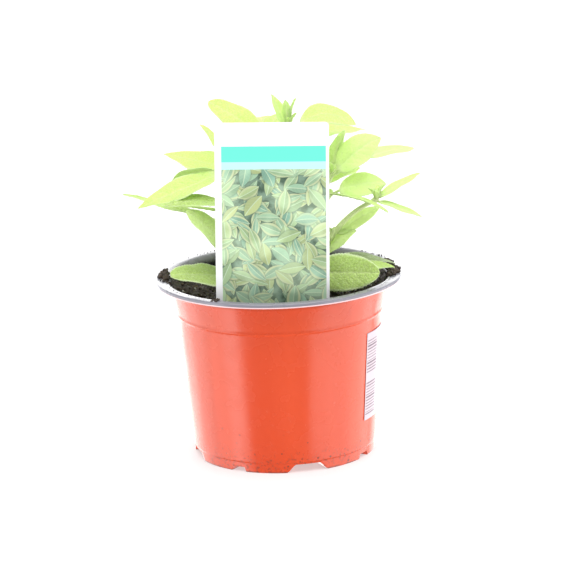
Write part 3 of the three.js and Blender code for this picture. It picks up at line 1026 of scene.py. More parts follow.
@dataclass
class Pot:
    """The thin pot: a profile carried round the axis, over feet cut by eight gaps."""

    height: float = 95.0
    wall: float = 1.0
    foot_radius: float = 47.6
    foot_depth: float = 9.0
    step_radius: float = 48.2
    step_height: float = 5.6
    body_top_radius: float = 53.5
    body_top: float = 75.2
    collar_bottom_radius: float = 54.0
    collar_step: float = 0.7
    bead: float = 0.35
    collar_top_radius: float = 57.3
    collar_top: float = 91.5
    roll_radius: float = 3.0
    rim_radius: float = 65.0
    lip: float = 2.3
    floor: float = 4.6
    first_gap: float = 14.0
    wide_gap: Gap = field(default_factory=lambda: Gap(24, 13, 4.3))
    notch: Gap = field(default_factory=lambda: Gap(9, 7, 2.5))
    drain_radius: float = 4.0
    drain_at: float = 32.0
    wavers: tuple[tuple[float, int, float, float], ...] = (
        (0.08, 5, 0.02, 1.2),
        (0.05, 11, -0.03, 0.0),
        (0.025, 29, 0.015, 0.0),
    )
    around: int = 540
    spacing: float = 3.4

    def outside(self, height: np.ndarray) -> np.ndarray:
        """The outer radius of the wall: straight from foot to collar, and again up the collar.

        Args:
            height: Heights.

        Returns:
            A radius for each.
        """
        body = (self.step_radius, self.body_top_radius)
        collar = (self.collar_bottom_radius, self.collar_top_radius)
        return np.where(
            height > self.body_top,
            np.interp(height, (self.body_top, self.collar_top), collar),
            np.interp(height, (self.step_height, self.body_top), body),
        )

    def inside(self, height: np.ndarray) -> np.ndarray:
        """The radius of the wall's inner face at a height."""
        return self.outside(height) - self.wall

    def profile(self) -> np.ndarray:
        """The profile from the middle of the base, up the outside and down the inside.

        Returns:
            Rows of radius, height, the share of the feet's rise, and the lining's value.
        """
        under = self.height - self.wall
        inner = self.foot_radius - self.foot_depth
        roll = self.collar_top_radius + self.roll_radius
        rim = self.rim_radius
        corners = [  # radius, height, share of the feet's rise, lining, rounding
            (0.2, self.floor, 0, 0, 0),
            (inner, self.floor, 0, 0, 0.4),
            (inner + 0.3, 0, 1, 0, 0.25),
            (self.foot_radius, 0, 1, 0, 0.5),
            (self.step_radius - 0.4, self.step_height - 0.4, 0, 0, 0.3),
            (self.step_radius, self.step_height, 0, 0, 0.3),
            (self.body_top_radius, self.body_top, 0, 0, 0.5),
            (self.collar_bottom_radius + self.bead, self.body_top + self.collar_step, 0, 0, 0.35),
            (self.collar_bottom_radius + self.bead, self.body_top + 1.3, 0, 0, 0.4),
            (self.collar_bottom_radius + 0.2, self.body_top + 2.1, 0, 0, 0.6),
            (self.collar_top_radius, self.collar_top - 0.4, 0, 0, 1.5),
            (roll, under, 0, 0, 2.0),
            (rim - self.wall, under, 0, 0, 0.3),
            (rim - self.wall, self.height - self.lip, 0, 0.5, 0.3),
            (rim, self.height - self.lip, 0, 1, 0.3),
            (rim, self.height, 0, 1, 0.7),
            (roll - self.wall, self.height, 0, 1, 2.2),
            (self.collar_top_radius - self.wall, self.collar_top, 0, 1, 1.5),
            (self.inside(self.body_top + 1.0), self.body_top + self.wall, 0, 1, 0.4),
            (self.body_top_radius - self.wall, self.body_top, 0, 1, 0.4),
            (self.step_radius - self.wall, self.step_height + self.wall, 0, 1, 0.4),
            (self.step_radius - 2 * self.wall, self.floor + self.wall, 0, 1, 0.4),
            (0.2, self.floor + self.wall, 0, 1, 0),
        ]
        return rounded(np.array(corners, float), self.spacing)

    def lift(self, angle: np.ndarray) -> np.ndarray:
        """How high the feet's lower edge lies.

        Args:
            angle: Angles to the right of the front, in radians.

        Returns:
            The heights.
        """
        total = np.zeros_like(angle)
        for gap, start in ((self.wide_gap, self.first_gap), (self.notch, self.first_gap + 45)):
            away = (np.degrees(angle) - start + 45) % 90 - 45
            total += gap.rise(np.radians(away) * self.foot_radius)
        return total

    def patch(self) -> Patch:
        """The pot as one closed skin.

        A profile point (r, h) goes to (r sin a, -r cos a, h + share * lift(a)). The radius of the
        wall wavers as thin formed sheet does, by the sum of size sin(waves a + twist h + shift).

        Returns:
            The skin, with the value "lining".
        """
        angle = around_once(self.around)
        radius, height, share, lining = (column[:, None] for column in self.profile().T)
        waver = sum(
            size * np.sin(waves * angle + twist * height + shift)
            for size, waves, twist, shift in self.wavers
        )
        on_wall = smooth(6, 16, height) * smooth(46, 48, radius) * smooth(92, 86, height)
        rings = polar(radius + waver * on_wall, angle, height + share * self.lift(angle))
        return Patch.loft(rings).with_values(lining=np.repeat(lining, self.around, 1))

    def drill(self, place: Place, pot: bpy.types.Object) -> None:
        """Cuts the drain holes: one in the middle and one behind each wide gap.

        Args:
            place: Where pieces are made.
            pot: The pot's object.
        """
        turn = around_once(40)
        circle = np.stack([np.cos(turn), np.sin(turn), 0 * turn], -1) * self.drain_radius
        reach = np.array((0, *[self.drain_at] * 4))
        angle = np.radians(self.first_gap + 90 * np.arange(-1, 4))
        bottoms = polar(reach, angle, self.floor - 2)
        depth = np.array((0, 0, self.wall + 4))
        plugs = [Patch.loft(np.stack([circle + low, circle + low + depth])) for low in bottoms]
        cutter = place.mesh("drain_plugs", Patch.joined(plugs), None)
        cut = pot.modifiers.new("drain", "BOOLEAN")
        cut.operation = "DIFFERENCE"
        cut.object = cutter
        cut.solver = "EXACT"
        graph = bpy.context.evaluated_depsgraph_get()
        drilled = bpy.data.meshes.new_from_object(pot.evaluated_get(graph))
        pot.modifiers.clear()
        pot.data = drilled
        bpy.data.objects.remove(cutter)

    def build(self, place: Place, finish: PotPlastic) -> None:
        """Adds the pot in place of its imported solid.

        Args:
            place: Where pieces are made.
            finish: Its finish.
        """
        pot = place.piece(
            "pot_shell", self.patch(), finish.material(place.axis), Slot.POT, ["pot"], 38
        )
        self.drill(place, pot)


def rounded(corners: np.ndarray, spacing: float) -> np.ndarray:
    """A line through corners, with each corner rounded and long stretches divided.

    A corner B between A and C is replaced by the curve (1-t)^2 P + 2t(1-t) B + t^2 Q, where P and
    Q lie a rounding length from B towards A and C, but at most 0.45 of the way.

    Args:
        corners: Rows of values whose first two are the place and whose last is the rounding.
        spacing: The longest stretch between points.

    Returns:
        Rows of the values without the last.
    """
    data, rounding = corners[:, :-1], corners[:, -1]
    gaps = np.linalg.norm(np.diff(data[:, :2], axis=0), axis=1)
    line = [data[0]]
    for k in range(1, len(data) - 1):
        back = min(rounding[k], gaps[k - 1] * 0.45) / gaps[k - 1]
        ahead = min(rounding[k], gaps[k] * 0.45) / gaps[k]
        start = data[k] + (data[k - 1] - data[k]) * back
        end = data[k] + (data[k + 1] - data[k]) * ahead
        for t in np.linspace(0, 1, 5):
            line.append((1 - t) ** 2 * start + 2 * t * (1 - t) * data[k] + t * t * end)
    line.append(data[-1])
    line = np.array(line)
    steps = np.linalg.norm(np.diff(line[:, :2], axis=0), axis=1)
    pieces = []
    for start, end, length in zip(line[:-1], line[1:], steps):
        count = max(1, math.ceil(length / spacing))
        share = np.arange(count)[:, None] / count
        pieces.append(start + (end - start) * share)
    return np.concatenate([*pieces, line[-1:]])


# ---- Compost -------------------------------------------------------------------------------------


@dataclass(frozen=True)
class Spill:
    """Crumbs on the flange about one place, in degrees to the right of the front."""

    middle: float
    spread: float
    count: int
    radius: float
    size: float


@dataclass
class Soil:
    """Compost that fills the pot: a lumpy surface with loose crumbs, fibres and perlite."""

    pot: Pot
    level: float = 87.5
    heap: float = 5.5
    lump: float = 0.7
    gap: float = 0.28
    rings: int = 110
    around: int = 420
    crumbs: int = 1500
    fibres: int = 230
    fibre_reach: float = 53.5
    beads: int = 46
    seed: int = 5
    flange: tuple[float, float] = (57.0, 64.0)
    spills: tuple[Spill, ...] = (
        Spill(-93, 8, 110, 60.0, 2.3),
        Spill(-84, 8, 40, 59.5, 1.2),
        Spill(94, 14, 130, 59.0, 2.0),
        Spill(84, 7, 70, 61.0, 1.9),
        Spill(118, 14, 24, 60.5, 0.9),
        Spill(-142, 16, 16, 62.0, 0.8),
        Spill(-31.5, 2.2, 30, 62.5, 1.5),
        Spill(-52, 16, 18, 61.0, 0.6),
        Spill(30, 30, 12, 61.0, 0.5),
        Spill(175, 40, 26, 61.0, 0.7),
    )

    def form(self, x: np.ndarray, y: np.ndarray) -> np.ndarray:
        """The main form: level, heaped against the left and right of the rim.

        z = level + heap * min(1, x^2 / 55^2)^3 + lump * sin(.31x + .17y) * sin(.37y - .12x + 1.3)

        Args:
            x: Places to the right of the axis.
            y: Places behind it.

        Returns:
            The heights.
        """
        sideways = np.minimum(1, x * x / 55**2) ** 3
        lumps = np.sin(x * 0.31 + y * 0.17) * np.sin(y * 0.37 - x * 0.12 + 1.3)
        return self.level + self.heap * sideways + self.lump * lumps

    def height(self, x: np.ndarray, y: np.ndarray) -> np.ndarray:
        """The surface with clods and grains: the main form plus noise from 9 mm to 0.75 mm.

        Args:
            x: Places to the right of the axis.
            y: Places behind it.

        Returns:
            The heights.
        """
        places = np.stack([x, y], -1)
        clods = 0.9 * octaves(places, 9, 2, 3.0) + 0.8 * octaves(places, 3.1, 3, 8.0)
        ridges = 0.5 * (1 - np.abs(octaves(places, 1.5, 2, 17.0)))
        return self.form(x, y) + clods + ridges - 0.5

    def surface(self) -> Patch:
        """The compost as one closed skin, from the base up the wall and in to the middle.

        The top's rings keep the angle and shrink evenly. The outermost are stretched by
        1 + (wall / level radius - 1) share^6, so that they meet the wall at their own height.

        Returns:
            The skin.
        """
        angle = around_once(self.around)[None, :]
        floor = self.pot.floor + self.pot.wall + 0.1
        heights = np.array([floor, floor + 1.3, 30.0, 60.0, self.pot.body_top, 80.0, 84.0])
        radius = self.pot.inside(heights) - self.gap
        radius[0] -= 1.2
        wall = polar(radius[:, None], angle + np.pi / 2, heights[:, None])
        share = 1 - np.arange(self.rings)[:, None] / self.rings
        rough_edge = self.pot.inside(np.array(self.level)) - self.gap
        flat_x, flat_y = rough_edge * share * np.cos(angle), rough_edge * share * np.sin(angle)
        top_z = self.height(flat_x, flat_y)
        spread = (self.pot.inside(top_z[:1]) - self.gap) / rough_edge
        stretch = 1 + (spread - 1) * share**6
        top = np.stack([flat_x * stretch, flat_y * stretch, top_z], -1)
        return Patch.loft(np.concatenate([wall, top]))

    def scatter(self, rng: np.random.Generator, count: int, bias: float) -> np.ndarray:
        """Random places on the surface, at (wall - 1.2) u^bias from the axis with u by chance.

        Args:
            rng: Chance.
            count: How many.
            bias: An even spread at 0.5, and denser towards the wall below that.

        Returns:
            The places (count, 3).
        """
        angle = rng.uniform(0, 2 * np.pi, count)
        reach = (self.pot.inside(np.array(self.level)) - 1.2) * rng.uniform(0, 1, count) ** bias
        x, y = reach * np.cos(angle), reach * np.sin(angle)
        return np.stack([x, y, self.height(x, y)], -1)

    def on_flange(self, rng: np.random.Generator) -> np.ndarray:
        """Crumbs that lie on the flange: spills at the left, right and back, and by the label.

        Args:
            rng: Chance.

        Returns:
            Rows of x, y, z and size.
        """
        rows = []
        for spill in self.spills:
            angle = np.radians(spill.middle + rng.normal(0, spill.spread / 2, spill.count))
            away = np.clip(spill.radius + rng.normal(0, 1.3, spill.count), *self.flange)
            sizes = spill.size * rng.uniform(0.45, 1.25, spill.count)
            slope = np.clip((60 - away) / 3, 0, 1) * 2
            places = polar(away, angle, self.pot.height - slope + sizes * 0.3)
            rows.append(np.concatenate([places, sizes[:, None]], 1))
        return np.concatenate(rows)

    def lumps(self, places: np.ndarray, sizes: np.ndarray, rng: np.random.Generator) -> Patch:
        """Small rough stones: a ball of 18 points, each ball stretched, turned and dented.

        Args:
            places: The middles (n, 3).
            sizes: The widths (n,).
            rng: Chance.

        Returns:
            All of them as one patch.
        """
        corners = np.array(
            [(1, 0, 0), (0, 1, 0), (-1, 0, 0), (0, -1, 0), (0, 0, 1), (0, 0, -1)], float
        )
        triangles = np.array(
            [(0, 1, 4), (1, 2, 4), (2, 3, 4), (3, 0, 4), (1, 0, 5), (2, 1, 5), (3, 2, 5), (0, 3, 5)]
        )
        ball, faces = subdivided(corners, triangles)
        count = len(places)
        turns = unit(rng.normal(size=(count, 3, 3)))
        third = unit(np.cross(turns[:, 0], turns[:, 1]))
        second = np.cross(third, turns[:, 0])
        frame = np.stack([turns[:, 0], second, third], 1)
        stretch = rng.uniform(0.45, 1.0, (count, 1, 3))
        dents = 1 + rng.uniform(-0.28, 0.28, (count, len(ball), 1))
        shaped = (ball[None] * dents * stretch) @ frame
        points = places[:, None] + shaped * (sizes[:, None, None] / 2)
        starts = (np.arange(count) * len(ball))[:, None, None]
        return Patch(points.reshape(-1, 3), [(faces[None] + starts).reshape(-1, 3)])

    def strands(self, rng: np.random.Generator) -> Patch:
        """Fibres: thin threads with four sides, bent twice, lying on the surface.

        A thread of length L runs L t ahead and b sin(pi t) cos(2.2 t + b) aside, with b its bend,
        over the compost by 0.15 mm and an arch of sin(pi t). What passes the reach is pulled in.

        Args:
            rng: Chance.

        Returns:
            All of them as one patch.
        """
        start = self.scatter(rng, self.fibres, 0.55)
        heading = rng.uniform(0, 2 * np.pi, self.fibres)
        length = rng.uniform(3, 11, self.fibres)
        share = np.linspace(0, 1, 8)[None, :]
        bend = rng.normal(0, 0.25, (self.fibres, 1)) * length[:, None]
        ahead = length[:, None] * share
        aside = bend * np.sin(np.pi * share) * np.cos(2.2 * share + bend)
        cosine, sine = np.cos(heading)[:, None], np.sin(heading)[:, None]
        x = start[:, :1] + ahead * cosine - aside * sine
        y = start[:, 1:2] + ahead * sine + aside * cosine
        pull = np.minimum(1, self.fibre_reach / np.maximum(np.hypot(x, y), 1e-6))
        x, y = x * pull, y * pull
        arch = rng.uniform(0.1, 1.3, (self.fibres, 1)) * np.sin(np.pi * share)
        path = np.stack([x, y, self.height(x, y) + 0.15 + arch], -1)
        radius = rng.uniform(0.06, 0.16, (self.fibres, 1, 1)) * (1.1 - share[..., None] * 0.6)
        return tubes(path, radius, 4)

    def build(self, place: Place) -> None:
        """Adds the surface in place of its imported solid, and the loose bits on it.

        Args:
            place: Where pieces are made.
        """
        rng = np.random.default_rng(self.seed)
        compost = Compost().material(place.axis)
        place.piece("soil_surface", self.surface(), compost, Slot.SOIL, ["soil"])
        sizes = rng.gamma(2.2, 0.42, self.crumbs) + 0.35
        places = self.scatter(rng, self.crumbs, 0.46)
        places[:, 2] += sizes * 0.12
        spilled = self.on_flange(rng)
        places = np.concatenate([places, spilled[:, :3]])
        crumbs = self.lumps(places, np.concatenate([sizes, spilled[:, 3]]), rng)
        place.piece("soil_crumbs", crumbs, BARK.material(place.axis), Slot.SOIL)
        place.piece("soil_fibres", self.strands(rng), PEAT_FIBRE.material(place.axis), Slot.SOIL)
        places = self.scatter(rng, self.beads, 0.5)
        sizes = rng.uniform(0.5, 1.7, self.beads)
        places[:, 2] += sizes * 0.3
        beads = self.lumps(places, sizes, rng)
        place.piece("soil_perlite", beads, PERLITE.material(place.axis), Slot.SOIL)


def subdivided(corners: np.ndarray, triangles: np.ndarray) -> tuple[np.ndarray, np.ndarray]:
    """A finer ball: each triangle becomes four, and the new points go out to the sphere.

    Args:
        corners: Points (n, 3) on the sphere.
        triangles: Their triangles (m, 3).

    Returns:
        The finer ball's points and triangles.
    """
    edges = np.concatenate([triangles[:, [0, 1]], triangles[:, [1, 2]], triangles[:, [2, 0]]])
    unique, index = np.unique(np.sort(edges, 1), axis=0, return_inverse=True)
    middle = unit(corners[unique].mean(1))
    count = len(triangles)
    ab, bc, ca = (index.ravel()[k * count : (k + 1) * count] + len(corners) for k in range(3))
    a, b, c = triangles.T
    faces = np.concatenate(
        [np.stack(f, 1) for f in ((a, ab, ca), (ab, b, bc), (ca, bc, c), (ab, bc, ca))]
    )
    return np.concatenate([corners, middle]), faces


def tubes(paths: np.ndarray, radius: np.ndarray, sides: int) -> Patch:
    """Closed round tubes along many paths.

    Round each path point P, with S and O square to the path, the ring is
    P + radius (cos a S + sin a O), and both end rings shrink to a tenth.

    Args:
        paths: Points (n, steps, 3).
        radius: Radii (n, steps, 1).
        sides: The number of points in a ring.

    Returns:
        All of them as one patch.
    """
    frame = square_to(unit(np.gradient(paths, axis=1)), (0.03, 0.05, 1.0))
    taper = np.ones(paths.shape[1])
    taper[[0, -1]] = 0.1
    width = (radius * taper[None, :, None])[:, :, None]
    rings = paths[:, :, None] + width * circle_about(frame, around_once(sides))
    return Patch.joined([Patch.loft(ring) for ring in rings])


# ---- Shoots --------------------------------------------------------------------------------------


@dataclass
class Leaf:
    """One leaf.

    Attributes:
        at: Where it grows, as a share of the stem's length.
        heading: The way from there to its tip, in degrees from the right towards the back.
        rise: How steeply that way climbs, in degrees.
        length: How far away the tip is.
        width: Its greatest width, as a share of its length.
        bow: How far its middle line bends to its upper side, as a share of its length.
        roll: Its turn about its own length, in degrees.
        fold: How far each half is folded up, in degrees.
        stalk: The stalk's share of its length.
        point: How pointed the blade ends, from 0 to 1.
        grey: How far its green goes to an old leaf's.
        young: How far it goes to a new leaf's; this also paints light and shade. None where its
            height tells.
        pale: How far down covers it, and how far painted light brightens it.
    """

    at: float
    heading: float
    rise: float
    length: float
    width: float = 0.45
    bow: float = 0.06
    roll: float = 0.0
    fold: float = 12.0
    stalk: float = 0.16
    point: float = 0.55
    grey: float = 0.0
    young: float | None = None
    pale: float = 0.0


@dataclass
class Shoot:
    """A stem that bends from its root to its tip, and its leaves.

    Attributes:
        name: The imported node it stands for.
        root: Where it leaves the compost, to the right of the pot's axis and behind it.
        tip: Where it ends, to the right, behind and up.
        lean: How far the bend's point lies from the root towards the tip, sideways.
        climb: How far it lies towards the tip, upwards.
        leaves: The leaves.
    """

    name: str
    root: tuple[float, float]
    tip: tuple[float, float, float]
    lean: float
    climb: float
    leaves: list[Leaf]


# The new-growth and pale values given to single leaves also paint light on some leaves and shade on
# others.
SHOOTS = [
    Shoot("shoot_centre", (3, 5), (8, 12, 170), 0.15, 0.5, [
        Leaf(0.96, 147, 65, 23, width=0.32, bow=0.02, roll=-20, fold=25, young=1.0, pale=0.45),
        Leaf(0.95, 1, 8, 36, width=0.54, bow=0.3, roll=25, fold=8, stalk=0.2, point=0.3),
        Leaf(1.0, -115, 78, 16, width=0.3, roll=20, fold=25, young=1.0, pale=0.45),
        Leaf(1.0, 14, 75, 16, width=0.3, roll=-20, fold=25, young=1.0, pale=0.4),
        Leaf(0.9, 40, 0, 54, width=0.34, roll=8),
        Leaf(0.9, -150, 12, 28, bow=0.12),
        Leaf(0.78, -80, 18, 36, bow=0.12),
        Leaf(0.78, 60, 22, 34, bow=0.12),
        Leaf(0.6, -60, 8, 32, bow=0.12),
        Leaf(0.6, 170, 12, 14, bow=0.1),
        Leaf(0.44, -92, 5, 28, bow=0.1),
        Leaf(0.44, 88, 5, 26, bow=0.1),
    ]),
    Shoot("shoot_left_high", (-9, 3), (-24, 2, 151), 0.3, 0.55, [
        Leaf(1.0, 157, 57, 28, width=0.3, bow=0.09, roll=-8, fold=10),
        Leaf(1.0, -70, 55, 18, width=0.4),
        Leaf(0.91, 164, -8, 37, width=0.42, bow=0.2, roll=24, fold=10, young=0.6),
        Leaf(1.0, -168, -18.4, 51.5, width=0.31, bow=0.0, roll=-28, fold=14, stalk=0.12, point=1.0),
        Leaf(0.68, -158, 10.6, 44, width=0.3, bow=0.1, roll=-18, fold=10, young=0.12),
        Leaf(0.55, 160, 12.7, 71, width=0.15, bow=0.0, stalk=0.3),
        Leaf(0.66, 100, 15, 36, bow=0.1),
        Leaf(0.62, -60, 15, 26, bow=0.1),
        Leaf(0.45, 130, 5, 22, bow=0.1),
    ]),
    Shoot("shoot_left_low", (-14, -7), (-21, -16, 132), 0.3, 0.6, [
        Leaf(0.98, -164, 14, 32, width=0.24, bow=0.03, roll=12, stalk=0.1),
        Leaf(0.32, -152, 49, 53, width=0.34, roll=-50, stalk=0.2, point=0.1, young=0.3, pale=0.3),
        Leaf(1.0, 100, 45, 16),
        Leaf(1.0, -80, 50, 15),
        Leaf(0.98, 0, 20, 20),
        Leaf(0.26, -150, 14, 48, width=0.44, roll=-22, fold=5, stalk=0.12, point=0.0),
        Leaf(0.66, -40, 10, 20),
        Leaf(0.4, -15, 5, 18),
    ]),
    Shoot("shoot_right_high", (10, 4), (29, 4, 146), 0.3, 0.5, [
        Leaf(1.0, -14, 71, 25, width=0.4, roll=-35, fold=20),
        Leaf(0.97, 33, 8, 55, width=0.24, bow=0.08, roll=10, stalk=0.45, pale=0.9),
        Leaf(0.97, -110, 35, 24, bow=0.1),
        Leaf(0.97, -7, 38, 35, 0.54, 0.1, roll=50, fold=14, stalk=0.2, point=0.3, pale=0.6),
        Leaf(0.78, -10, 17, 36, 0.46, 0.18, 38, 6, stalk=0.34, point=0.1, young=1.0, pale=0.65),
        Leaf(0.85, -48, -3, 48, width=0.16, roll=-12),
        Leaf(0.7, 85, 12, 32, bow=0.1),
        Leaf(0.56, -105, 25, 24, bow=0.1),
        Leaf(0.56, 80, 8, 24, bow=0.1),
        Leaf(0.4, 40, 5, 22, bow=0.1),
    ]),
    Shoot("shoot_right_low", (14, 0), (52, -15, 136), 0.2, 0.76, [
        Leaf(0.98, 15, 26, 28, width=0.34, bow=0.02, roll=8, stalk=0.1, point=0.8, pale=0.5),
        Leaf(0.98, -13, -18, 26, width=0.34, bow=0.02, roll=5, stalk=0.1, point=0.8, pale=0.35),
        Leaf(1.0, 80, 45, 9),
        Leaf(1.0, -100, 50, 8),
        Leaf(0.52, 10, 28, 30, 0.3, 0.04, roll=50, stalk=0.12, young=0.95, pale=0.9),
        Leaf(0.36, -15, 35, 24, width=0.5, roll=35, stalk=0.14, young=0.95, pale=0.85),
        Leaf(0.36, -130, 10, 14),
        Leaf(0.52, -170, 15, 15),
    ]),
    Shoot("shoot_right_front", (13, -17), (15, -19, 99), 0.5, 0.6, [
        Leaf(1.0, -19, 3, 39, width=0.52, bow=0.05, roll=64, fold=5, stalk=0.08, point=0.0),
        Leaf(0.97, 27, -2, 52, width=0.34, bow=0.12, roll=5, fold=5, stalk=0.1, grey=0.9),
        Leaf(0.8, 4, 6, 46, width=0.3, bow=0.08, roll=10, young=0.6),
    ]),
    Shoot("shoot_back_left", (-5, 13), (-4, 30, 160), 0.2, 0.6, [
        Leaf(1.0, 165, 33, 37, width=0.46, bow=0.05, roll=-35, fold=8, stalk=0.05, point=0.1),
        Leaf(1.0, 70, 25, 24, bow=0.08),
        Leaf(0.7, 165, 14.6, 58, width=0.35, bow=0.04, roll=-20, fold=8),
        Leaf(0.9, 95, 20, 38, bow=0.12),
        Leaf(0.84, 20, 15, 16, bow=0.12),
        Leaf(0.66, 118, 5, 40, bow=0.12),
        Leaf(0.66, 90, 8, 34, bow=0.12),
        Leaf(0.46, 165, 5, 24, bow=0.12),
    ]),
    Shoot("shoot_back_right", (8, 15), (17, 38, 134), 0.2, 0.6, [
        Leaf(1.0, 60, 45, 22),
        Leaf(1.0, -120, 55, 14),
        Leaf(0.92, 85, 20, 34, width=0.48, bow=0.12),
        Leaf(0.92, 25, 15, 34, bow=0.12, roll=20),
        Leaf(0.72, 60, 5, 30, bow=0.12),
        Leaf(0.72, 150, 5, 20, bow=0.12),
        Leaf(0.52, 95, 0, 34, bow=0.14),
        Leaf(0.52, -70, 8, 16),
        Leaf(0.36, 20, 3, 24, bow=0.14),
    ]),
    Shoot("shoot_back_low", (-3, 22), (-14, 50, 116), 0.3, 0.6, [
        Leaf(1.0, 95, 45, 22),
        Leaf(1.0, -60, 50, 16),
        Leaf(0.93, 150, 10, 28, bow=0.12, roll=-10),
        Leaf(0.93, 30, 15, 26, bow=0.12),
        Leaf(0.74, 110, 5, 36, bow=0.12),
        Leaf(0.74, -150, 10, 18, bow=0.12),
        Leaf(0.5, 75, 5, 30, bow=0.12),
        Leaf(0.5, 165, 5, 24, bow=0.12),
        Leaf(0.3, 110, 5, 26, bow=0.12),
    ]),
]


@dataclass
class LeafSkin:
    """One leaf as one closed skin: a row for each ring round it, from its stalk to its tip.

    A ring runs from one edge over the upper face to the other edge, and back below. Arrays that
    hold one number for each ring are columns.
    """

    leaf: Leaf
    start: np.ndarray
    cell: float = 0.52
    fewest: tuple[int, int] = (22, 8)
    most: tuple[int, int] = (88, 34)
    thickness: float = 0.5
    stalk_radius: float = 0.8
    stalk_half: float = 0.62
    tip_half: float = 0.12
    vein_pitch: float = 2.6
    vein_width: float = 0.42
    vein_depth: float = 0.26
    rib_width: float = 0.35
    rib_depth: float = 0.42
    ridge: float = 0.5
    cushion: float = 1.5
    cushion_height: float = 0.16
    crinkle: float = 0.018
    crinkle_pitch: float = 1.7
    ripple: float = 0.05
    ruffle: float = 0.055
    crease: float = 0.35
    arch: float = 0.12
    edge_hairs: float = 3.2
    face_hairs: float = 1.5
    fresh_and_lit: tuple[float, float] = (92.0, 150.0)

    def __post_init__(self) -> None:
        """Lays out the grid.

        q is the share of the leaf's length and part the share of its blade's. v runs from 1 at
        one edge to -1 at the other, evenly in the blade and as a cosine in the stalk. Facing is 1
        above, -1 below and 0 on an edge.
        """
        length, width = self.leaf.length, self.leaf.length * self.leaf.width
        rows = int(np.clip(length / self.cell, self.fewest[0], self.most[0]))
        self.columns = int(np.clip(width / self.cell, self.fewest[1], self.most[1]))
        even = np.linspace(0, 1, rows)[:, None]
        self.q = 0.72 * even + 0.28 * np.sin(even * np.pi / 2)
        self.part = (self.q - self.leaf.stalk) / (1 - self.leaf.stalk)
        self.in_blade = smooth(0, 0.14, self.part)
        turn = np.arange(2 * self.columns) / self.columns
        even_across = 1 - 2 * np.where(turn < 1, turn, 2 - turn)
        blend = 0.8 * self.in_blade
        self.v = (1 - blend) * np.cos(np.pi * turn) + blend * even_across
        self.facing = np.where(turn < 1, 1.0, -1.0) * (np.abs(even_across) < 1)

    def half_width(self) -> np.ndarray:
        """Half the leaf's width: the root of the sum of the squares of the blade's and the stalk's.

        The blade's is L w / 2 sin(pi part^0.85)^p with p = 0.5 + 0.55 point part^2, and the
        stalk's is its radius times the root of 1 - part.

        Returns:
            The half widths, a column.
        """
        leaf = self.leaf
        part = np.clip(self.part, 0, 1)
        power = 0.5 + 0.55 * leaf.point * part**2
        blade = leaf.length * leaf.width / 2 * np.sin(np.pi * part**0.85).clip(0) ** power
        half = np.hypot(blade, self.stalk_radius * np.sqrt(1 - part))
        half[-1] = self.tip_half
        return half

    def frame(self) -> tuple[np.ndarray, np.ndarray, np.ndarray]:
        """The middle line, start + L (q chord + 4q(1-q) bow face), and the ways from it.

        Returns:
            The line's points, the way across the leaf, and the ways out of its upper face.
        """
        leaf, q = self.leaf, self.q
        heading, rise, roll = (math.radians(a) for a in (leaf.heading, leaf.rise, leaf.roll))
        level = math.cos(rise)
        chord = np.array((level * math.cos(heading), level * math.sin(heading), math.sin(rise)))
        face = unit(np.array((0, 0, 1.0)) - chord[2] * chord)
        face = face * math.cos(roll) + np.cross(chord, face) * math.sin(roll)
        middle = self.start + leaf.length * (q * chord + 4 * q * (1 - q) * leaf.bow * face)
        tangent = unit(chord + 4 * (1 - 2 * q) * leaf.bow * face)
        normal = unit(face - (tangent @ face)[:, None] * tangent)
        return middle, np.cross(chord, face), normal

    def veins(self, sheet: np.ndarray) -> tuple[np.ndarray, np.ndarray]:
        """The midrib and the side veins, each exp(-(distance / width)^2).

        A side vein lies where (along - 0.75 |across| (1 + 0.25 |v|)) / pitch is a whole number.
        Those of one half are shifted by 0.42, and all waver by a noise.

        Args:
            sheet: The millimetres along and across the leaf of each point.

        Returns:
            The midrib and the side veins, 1 in their middle and 0 away from them.
        """
        along, across = sheet[..., 0], sheet[..., 1]
        relative = np.abs(self.v)
        pitch = max(self.leaf.length / 9, self.vein_pitch)
        slant = (along - 0.75 * np.abs(across) * (1 + 0.25 * relative)) / pitch
        slant = slant + np.where(across > 0, 0.0, 0.42) + 0.12 * lattice_noise(sheet, 5, 2.0)
        near = np.abs(slant - np.round(slant)) * pitch
        fading = smooth(0.98, 0.5, relative) * self.in_blade
        rib = np.exp(-((across / (self.rib_width + 0.5 * (1 - self.q))) ** 2))
        return rib, np.exp(-((near / self.vein_width) ** 2)) * fading

    def patch(self, rng: np.random.Generator) -> tuple[np.ndarray, Patch]:
        """The skin, with veins sunk above and raised below, and cushions between them.

        A section runs across by v half, crinkled towards its edges, and rises by
        |across| sin(fold) - arch half v^2 plus the relief, plus or minus half the thickness.

        Args:
            rng: Chance for its small waves.

        Returns:
            The grid's points (rows, around, 3), and the skin.
        """
        leaf, q, v = self.leaf, self.q, self.v
        in_blade, facing, relative = self.in_blade, self.facing, np.abs(self.v)
        half = self.half_width()
        along = q * leaf.length + 0 * v
        crinkle = self.crinkle * np.sin(2 * np.pi * along / self.crinkle_pitch + rng.uniform(0, 6))
        crinkle = crinkle + 0.02 * lattice_noise(along[..., None] * (1, 0), 2.7, leaf.heading)
        across = v * half * (1 + crinkle * in_blade * relative**3)
        sheet = np.stack([along, across], -1)

        rib, lateral = self.veins(sheet)
        cushions = pebbles(sheet, self.cushion, leaf.heading + leaf.at)
        ripple = lattice_noise(sheet, 7.0, leaf.rise + 3.0)
        wave = 2 * np.pi * rng.uniform(1.6, 2.6)
        ruffle = np.sin(wave * q + np.where(across > 0, 0, 2.0) + rng.uniform(0, 6))
        relief = self.cushion_height * cushions * (1 - rib) - self.vein_depth * lateral
        relief = relief - self.rib_depth * rib * (1 - 0.6 * q)
        waves = self.ripple * ripple + self.ruffle * relative**2.5 * ruffle
        relief = relief + half.max() * waves
        fold = math.radians(leaf.fold)
        out = np.hypot(across, self.crease) - self.crease
        lift = out * math.sin(fold) - self.arch * half * relative**2 + relief * in_blade

